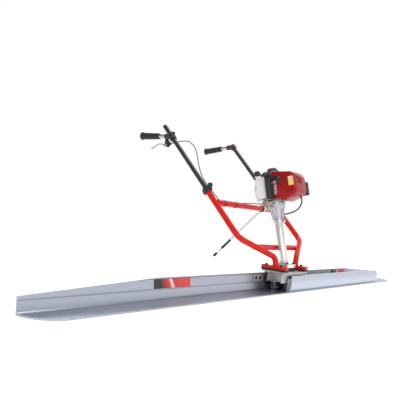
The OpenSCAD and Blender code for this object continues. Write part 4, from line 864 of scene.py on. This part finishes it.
for side_name, side in (("left", -1), ("right", 1)):
    bm = bmesh.new()
    lobes = [((11.4 + 1.9 * math.cos(6 * a)) * math.cos(a), (11.4 + 1.9 * math.cos(6 * a)) * math.sin(a))
             for a in (k * math.tau / 72 for k in range(72))]
    shape = prism(bm, lobes, 0.2, 8.6, along=2)
    rims = [e for e in {e for v in shape for e in v.link_edges}
            if abs(e.verts[0].co.z - e.verts[1].co.z) < 0.001 and e.verts[0].co.z > 8]
    rounded(bm, shape, rims, 1.2, 3)
    turned(bm, [(0, 8), (9, 8), (9, 12.4), (8, 13.6), (4.4, 13.9), (4, 13.2), (0, 13.2)], steps=40)
    turned(bm, drum(3, 13, edge=0.4, base=-12.4), steps=24)
    away = Matrix.Translation((0, -25.3, 298)) @ Matrix.Rotation(math.radians(90), 4, "X")
    bmesh.ops.transform(bm, matrix=away, verts=bm.verts)
    mesh_piece("lobed_knob_" + side_name, bm, LINE[side], "clamp_knob_" + side_name, clamp_plastic,
               "clamp_black",
               "clamp_knob_" + side_name)

# ---- Grip clamps and grips ---------------------------------------------------------------
# Cast sleeves bolted round the handle tubes carry short bars; moulded rubber grips with a
# flared end are pushed over them. The left clamp is black, with a bright nut, and holds the
# throttle lever; the right one is dark maroon with a bare steel bar.
bar_steel = surface("bare bar steel", (0.64, 0.65, 0.67), (0.48, 0.48, 0.50), 0.24, metal=1.0, patch=30,
                    grain=0.25,
                    grain_size=420, stretch=(1, 0.15, 1))
maroon = surface("dark maroon enamel", (0.085, 0.010, 0.009), (0.045, 0.006, 0.006), 0.28, patch=26,
                 grain=0.15,
                 grain_size=500, coat=0.3)
grip_rubber = surface("black grip rubber", (0.018, 0.018, 0.020), (0.010, 0.010, 0.011), 0.62, patch=36,
                      grain=0.5,
                      grain_size=900)
GRIP = {-1: Matrix.Translation((-0.322, 0.105 + 0.650 * SLOPE, 0.240 + 0.650 * SLOPE))
        @ Matrix.Rotation(math.radians(-90), 4, "X") @ MM,
        1: Matrix.Translation((0.322, 0.105 + 0.716 * SLOPE, 0.240 + 0.716 * SLOPE))
        @ Matrix.Rotation(math.radians(-100), 4, "X") @ MM}
for side_name, side, low, high, paint, slot in (("left", -1, 630, 670, clamp_plastic, "clamp_black"),
                                                ("right", 1, 702, 726, maroon, "clamp_maroon")):
    bm = bmesh.new()
    turned(bm, [(11.5, low), (17.4, low), (18, low + 0.8), (18, high - 0.8), (17.4, high), (11.5, high)],
           ring=True,
           steps=56)
    for height in (low + 7, high - 7):
        turned(bm, drum(3.6, 8, edge=0.6), at=(0, -11, height), axis=(side, -0.35, 0.0), steps=20)
    if side < 0:
        turned(bm, [(5.2, 14), (7.4, 14), (8, 15), (8, 22.4), (7.4, 23), (5.2, 23)], at=(0, 0, 656),
               axis=(0, -1, 0),
               ring=True, steps=32)
    mesh_piece("grip_sleeve_" + side_name, bm, LINE[side], "handle_" + side_name, paint, slot,
               "grip_clamp_" + side_name)
    bm = bmesh.new()
    turned(bm, [(0, 13), (14.4, 13), (15, 14), (15, 37), (14, 39.4), (11, 40), (0, 40)], steps=48)
    mesh_piece("bar_socket_" + side_name, bm, GRIP[side], "handle_" + side_name, paint, slot)
    bm = bmesh.new()
    turned(bm, drum(11, 180, edge=1.2, base=14), steps=40)
    turned(bm, drum(12.6, 6, edge=1.2, base=42), steps=40)
    mesh_piece("grip_bar_" + side_name, bm, GRIP[side], "handle_" + side_name, bar_steel, "steel")
    bm = bmesh.new()
    sleeve = [(11.1, 80), (14.2, 80), (15, 80.8)]
    for k in range(17):
        at, bulk = 84 + k * 6, 15.2 + 1.7 * min(1.0, k / 9)
        sleeve += [(bulk, at), (bulk - 0.9, at + 0.9), (bulk - 0.9, at + 2.4), (bulk, at + 3.3)]
    sleeve += [(16.6, 188), (18.4, 191), (20.3, 194), (20.5, 196), (20.3, 199.6), (18.4, 201.8), (14, 202),
               (0, 202),
               (0, 198.4), (11.1, 198.4)]
    turned(bm, sleeve, ring=True, steps=56)
    for k in range(3):
        turned(bm, drum(1.5, 100, edge=0.7, base=86), at=(14.6 * math.cos(0.35 * (k - 1) + math.pi / 2 * 3),
                                                         14.6 * math.sin(0.35 * (k - 1) + math.pi / 2 * 3),
                                                          0), steps=10)
    mesh_piece("rubber_grip_" + side_name, bm, GRIP[side], "handle_" + side_name, grip_rubber, "grip_rubber",
               "grip_" + side_name)

bm = bmesh.new()
for low, high in ((-330, -325.4), (-318.6, -314)):
    prism(bm, [(580, 646), (598, 646), (602, 655), (600, 690), (580, 676), (577, 655)], low, high, along=0,
          edge=0.7,
          corner=3)
block(bm, (-322, 584.6, 656), (-302, 594, 672), edge=1.4)
turned(bm, [(2.8, 0), (5.6, 0), (6, 0.6), (6, 6), (2.8, 6)], at=(-306, 584.4, 664), axis=(0, -1, 0.26),
       ring=True, steps=28)
mesh_piece("lever_bracket", bm, MM, "handle_left", clamp_plastic, "clamp_black")
bm = bmesh.new()
for k in (-1, 1):
    bolt(bm, (-322 + 8.2 * k, 590, 655), (k, 0, 0), size=6, head=4.6)
hexagon(bm, (-322, 558 + 6, 688 + 2), (0, -0.707, 0.707), 13, 5)
block(bm, (-334, 558, 690.5), (-310, 561.5, 694), edge=1.2)
mesh_piece("bright_nuts", bm, MM, "handle_left", bar_steel, "steel")

# ---- Throttle lever and stop button ------------------------------------------------------
# A curved alloy lever under the left grip turns on a pin; the red button is sprung in its boss.
lever_alloy = surface("worn lever alloy", (0.56, 0.53, 0.42), (0.36, 0.33, 0.26), 0.32, metal=0.9, patch=60,
                      grain=0.3, grain_size=500)
bm = bmesh.new()
prism(bm, [(583, 650), (589, 647), (596, 646.6), (604, 649), (620, 656), (631, 658), (640, 658), (651, 653.5),
           (662, 647), (676, 639.6), (688, 633.4), (691, 634.6), (691.4, 637), (678, 644.4), (664, 652),
           (652, 659),
           (641, 663), (630, 663), (618, 661), (608, 657.6), (601, 657), (594, 662), (588, 662.6),
           (584, 660)],
      -324.9, -319.1, along=0, edge=1.5, steps=3)
turned(bm, drum(2.9, 16, edge=0.4, base=-330), at=(0, 590, 655), axis=(1, 0, 0), steps=24)
turned(bm, drum(4.4, 7.2, edge=1.6, base=-325.6), at=(0, 688, 636.4), axis=(1, 0, 0), steps=24)
mesh_piece("lever_blade", bm, MM, "throttle_lever", lever_alloy, "lever_metal", "throttle_lever")
button_red = surface("red button plastic", (0.55, 0.012, 0.012), (0.42, 0.008, 0.008), 0.3, patch=120,
                     grain=0.1, coat=0.3)
bm = bmesh.new()
turned(bm, [(0, 20.3), (4.6, 20.3), (5, 20.7), (5, 25.4), (4.2, 26.5), (0, 26.3)], at=(0, 0, 656),
       axis=(0, -1, 0), steps=32)
mesh_piece("stop_button", bm, LINE[-1], "stop_switch", button_red, "switch_red", "stop_switch")

# ---- Throttle cable and lead -------------------------------------------------------------
# The throttle cable runs from the lever in a high loop down to the left tube clamp, then along
# the cross tube to the carburettor. The engine's lead drops from the shroud to the clutch bell.
sheath = surface("grey cable sheath", (0.17, 0.17, 0.18), (0.11, 0.11, 0.12), 0.42, patch=70, grain=0.3,
                 grain_size=900)
dark_sheath = surface("black lead sheath", (0.035, 0.035, 0.036), (0.02, 0.02, 0.02), 0.45, patch=70,
                      grain=0.3,
                      grain_size=900)
upper_run = [(-306, 584, 664), (-306, 566, 669), (-306, 545, 674), (-308, 520, 678), (-311, 495, 680),
             (-315, 470, 679), (-319, 445, 672), (-321, 422, 658), (-322, 405, 637), (-322, 392, 610),
             (-322, 382, 580),
             (-322, 370, 548), (-322, 354, 518), (-322, 334, 492), (-322, 309.7, 467.4)]
lower_run = [(-322, 286, 447.4), (-322, 276, 438), (-321, 264, 427), (-315, 255, 417), (-303, 256, 410),
             (-285, 262, 406), (-260, 266, 404), (-200, 266, 404), (-140, 266, 404), (-90, 266, 404),
             (-60, 264, 405),
             (-42, 255, 407), (-40, 238, 408), (-48, 216, 409), (-58, 193, 409), (-64, 170, 410),
             (-66, 147.8, 411)]
lead_run = [(45, -118.1, 314.1), (45, -119.3, 310.2), (45.5, -120, 303), (46.5, -118, 291), (47, -112, 279),
            (46.5, -102, 267), (45, -88, 257), (43, -70, 250), (40, -50, 246), (36, -30, 244.5),
            (31.5, -11, 246)]


def threaded(knots, parts=5):
    """A smooth route through given points."""
    knots = [Vector(p) for p in knots]
    path = []
    for k in range(len(knots) - 1):
        a, b = knots[max(k - 1, 0)], knots[k]
        c, d = knots[k + 1], knots[min(k + 2, len(knots) - 1)]
        for step in range(parts):
            t = step / parts
            path.append(0.5 * (2 * b + (c - a) * t + (2 * a - 5 * b + 4 * c - d) * t ** 2
                               + (3 * b - a - 3 * c + d) * t ** 3))
    return path + [knots[-1]]


bm = bmesh.new()
pipe(bm, threaded(upper_run), 2.5, sides=16)
turned(bm, [(2.3, 0), (3.4, 0), (3.6, 0.6), (3.2, 14), (2.3, 16)], at=(-306, 582.6, 664.4),
       axis=(0, -1, 0.26), ring=True,
       steps=24)
upper_cable = mesh_piece("throttle_cable_loop", bm, MM, None, sheath, "cable", "throttle_cable_upper")
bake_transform(upper_cable)
bm = bmesh.new()
pipe(bm, threaded(lower_run), 2.5, sides=16)
turned(bm, [(2.3, 0), (3.3, 0), (3.5, 0.5), (3.1, 12), (2.3, 13)], at=(-66, 148.0, 411),
       axis=(0.08, 1, -0.04), ring=True,
       steps=24)
mesh_piece("throttle_cable_run", bm, MM, "frame", sheath, "cable", "throttle_cable_lower")
bm = bmesh.new()
for x in (-250, -150):
    turned(bm, [(14.1, -4), (15.4, -4), (15.4, 4), (14.1, 4)], at=(x, 254.9, 389.9), axis=(1, 0, 0),
           ring=True, steps=40)
mesh_piece("cable_ties", bm, MM, "frame", black_mould, "cable")
bm = bmesh.new()
pipe(bm, threaded(lead_run), 3.5, sides=20)
turned(bm, [(3.3, 0), (5.4, 0), (5.6, 0.8), (4.6, 3.4), (3.3, 3.6)], at=(45, -118.1, 314.3),
       axis=(0, -0.3, -0.95), ring=True,
       steps=28)
mesh_piece("engine_lead_bend", bm, MAST, "frame", dark_sheath, "cable", "engine_lead")

# ---- Stand -------------------------------------------------------------------------------
# A thin steel leg swings on the upper cross tube between two collars. Its black sleeve grips a
# sliding rod with a rubber foot.
plated = surface("zinc-plated steel", (0.72, 0.73, 0.75), (0.56, 0.57, 0.60), 0.26, metal=0.95, patch=34,
                 grain=0.25,
                 grain_size=500)
tan_steel = surface("tanned rod steel", (0.50, 0.42, 0.34), (0.36, 0.28, 0.21), 0.34, metal=0.8, patch=60,
                    grain=0.3,
                    grain_size=500)
cross = (135, 105 + 212 * SLOPE, 240 + 212 * SLOPE)
LEG = Matrix.Translation([v / 1000 for v in cross]) @ Matrix.Rotation(math.radians(223.7), 4, "X") @ MM
bm = bmesh.new()
for side in (-1, 1):
    turned(bm, [(14.1, 9.4), (17.2, 9.4), (18, 10.2), (18, 16.2), (17.2, 17.2), (14.1, 17.2)], at=cross,
           axis=(side, 0, 0),
           ring=True, steps=48)
mesh_piece("leg_collars", bm, MM, "frame", clamp_plastic, "clamp_black", "stand_collars")
bm = bmesh.new()
turned(bm, [(14.1, -9), (18.2, -9), (19, -8.2), (19, 8.2), (18.2, 9), (14.1, 9)], axis=(1, 0, 0), ring=True,
       steps=48)
turned(bm, [(3.3, 266), (5, 266), (5, 17), (3.3, 17)], ring=True, steps=28)
turned(bm, [(5, 17.6), (7.2, 17.6), (6.4, 21), (5, 23)], ring=True, steps=28)
mesh_piece("leg_tube", bm, LEG, "stand", plated, "stand_metal", "stand_tube")
bm = bmesh.new()
turned(bm, [(3.3, 262), (6.6, 262), (7.5, 264), (7.5, 272), (6.9, 273.4), (6.9, 322), (7.5, 323.4),
            (7.5, 334),
            (6.6, 336), (3.3, 336)], ring=True, steps=32)
mesh_piece("leg_sleeve", bm, LEG, "stand", black_mould, "clamp_black")
bm = bmesh.new()
turned(bm, drum(3.2, 186, edge=0.4, base=202), steps=24)
mesh_piece("leg_rod", bm, LEG, "stand_rod", tan_steel, "stand_metal", "stand_rod")
bm = bmesh.new()
turned(bm, [(0, 380), (5.6, 380), (6.6, 381), (7.5, 386), (7.5, 402), (6.6, 406), (4.4, 407.8), (0, 408)],
       steps=32)
for z in (389, 394, 399):
    turned(bm, [(7.2, z - 0.8), (7.5, z - 0.4), (7.5, z + 0.4), (7.2, z + 0.8)], ring=True, steps=32)
mesh_piece("leg_foot", bm, LEG, "stand_rod", pad_rubber, "pad_rubber")
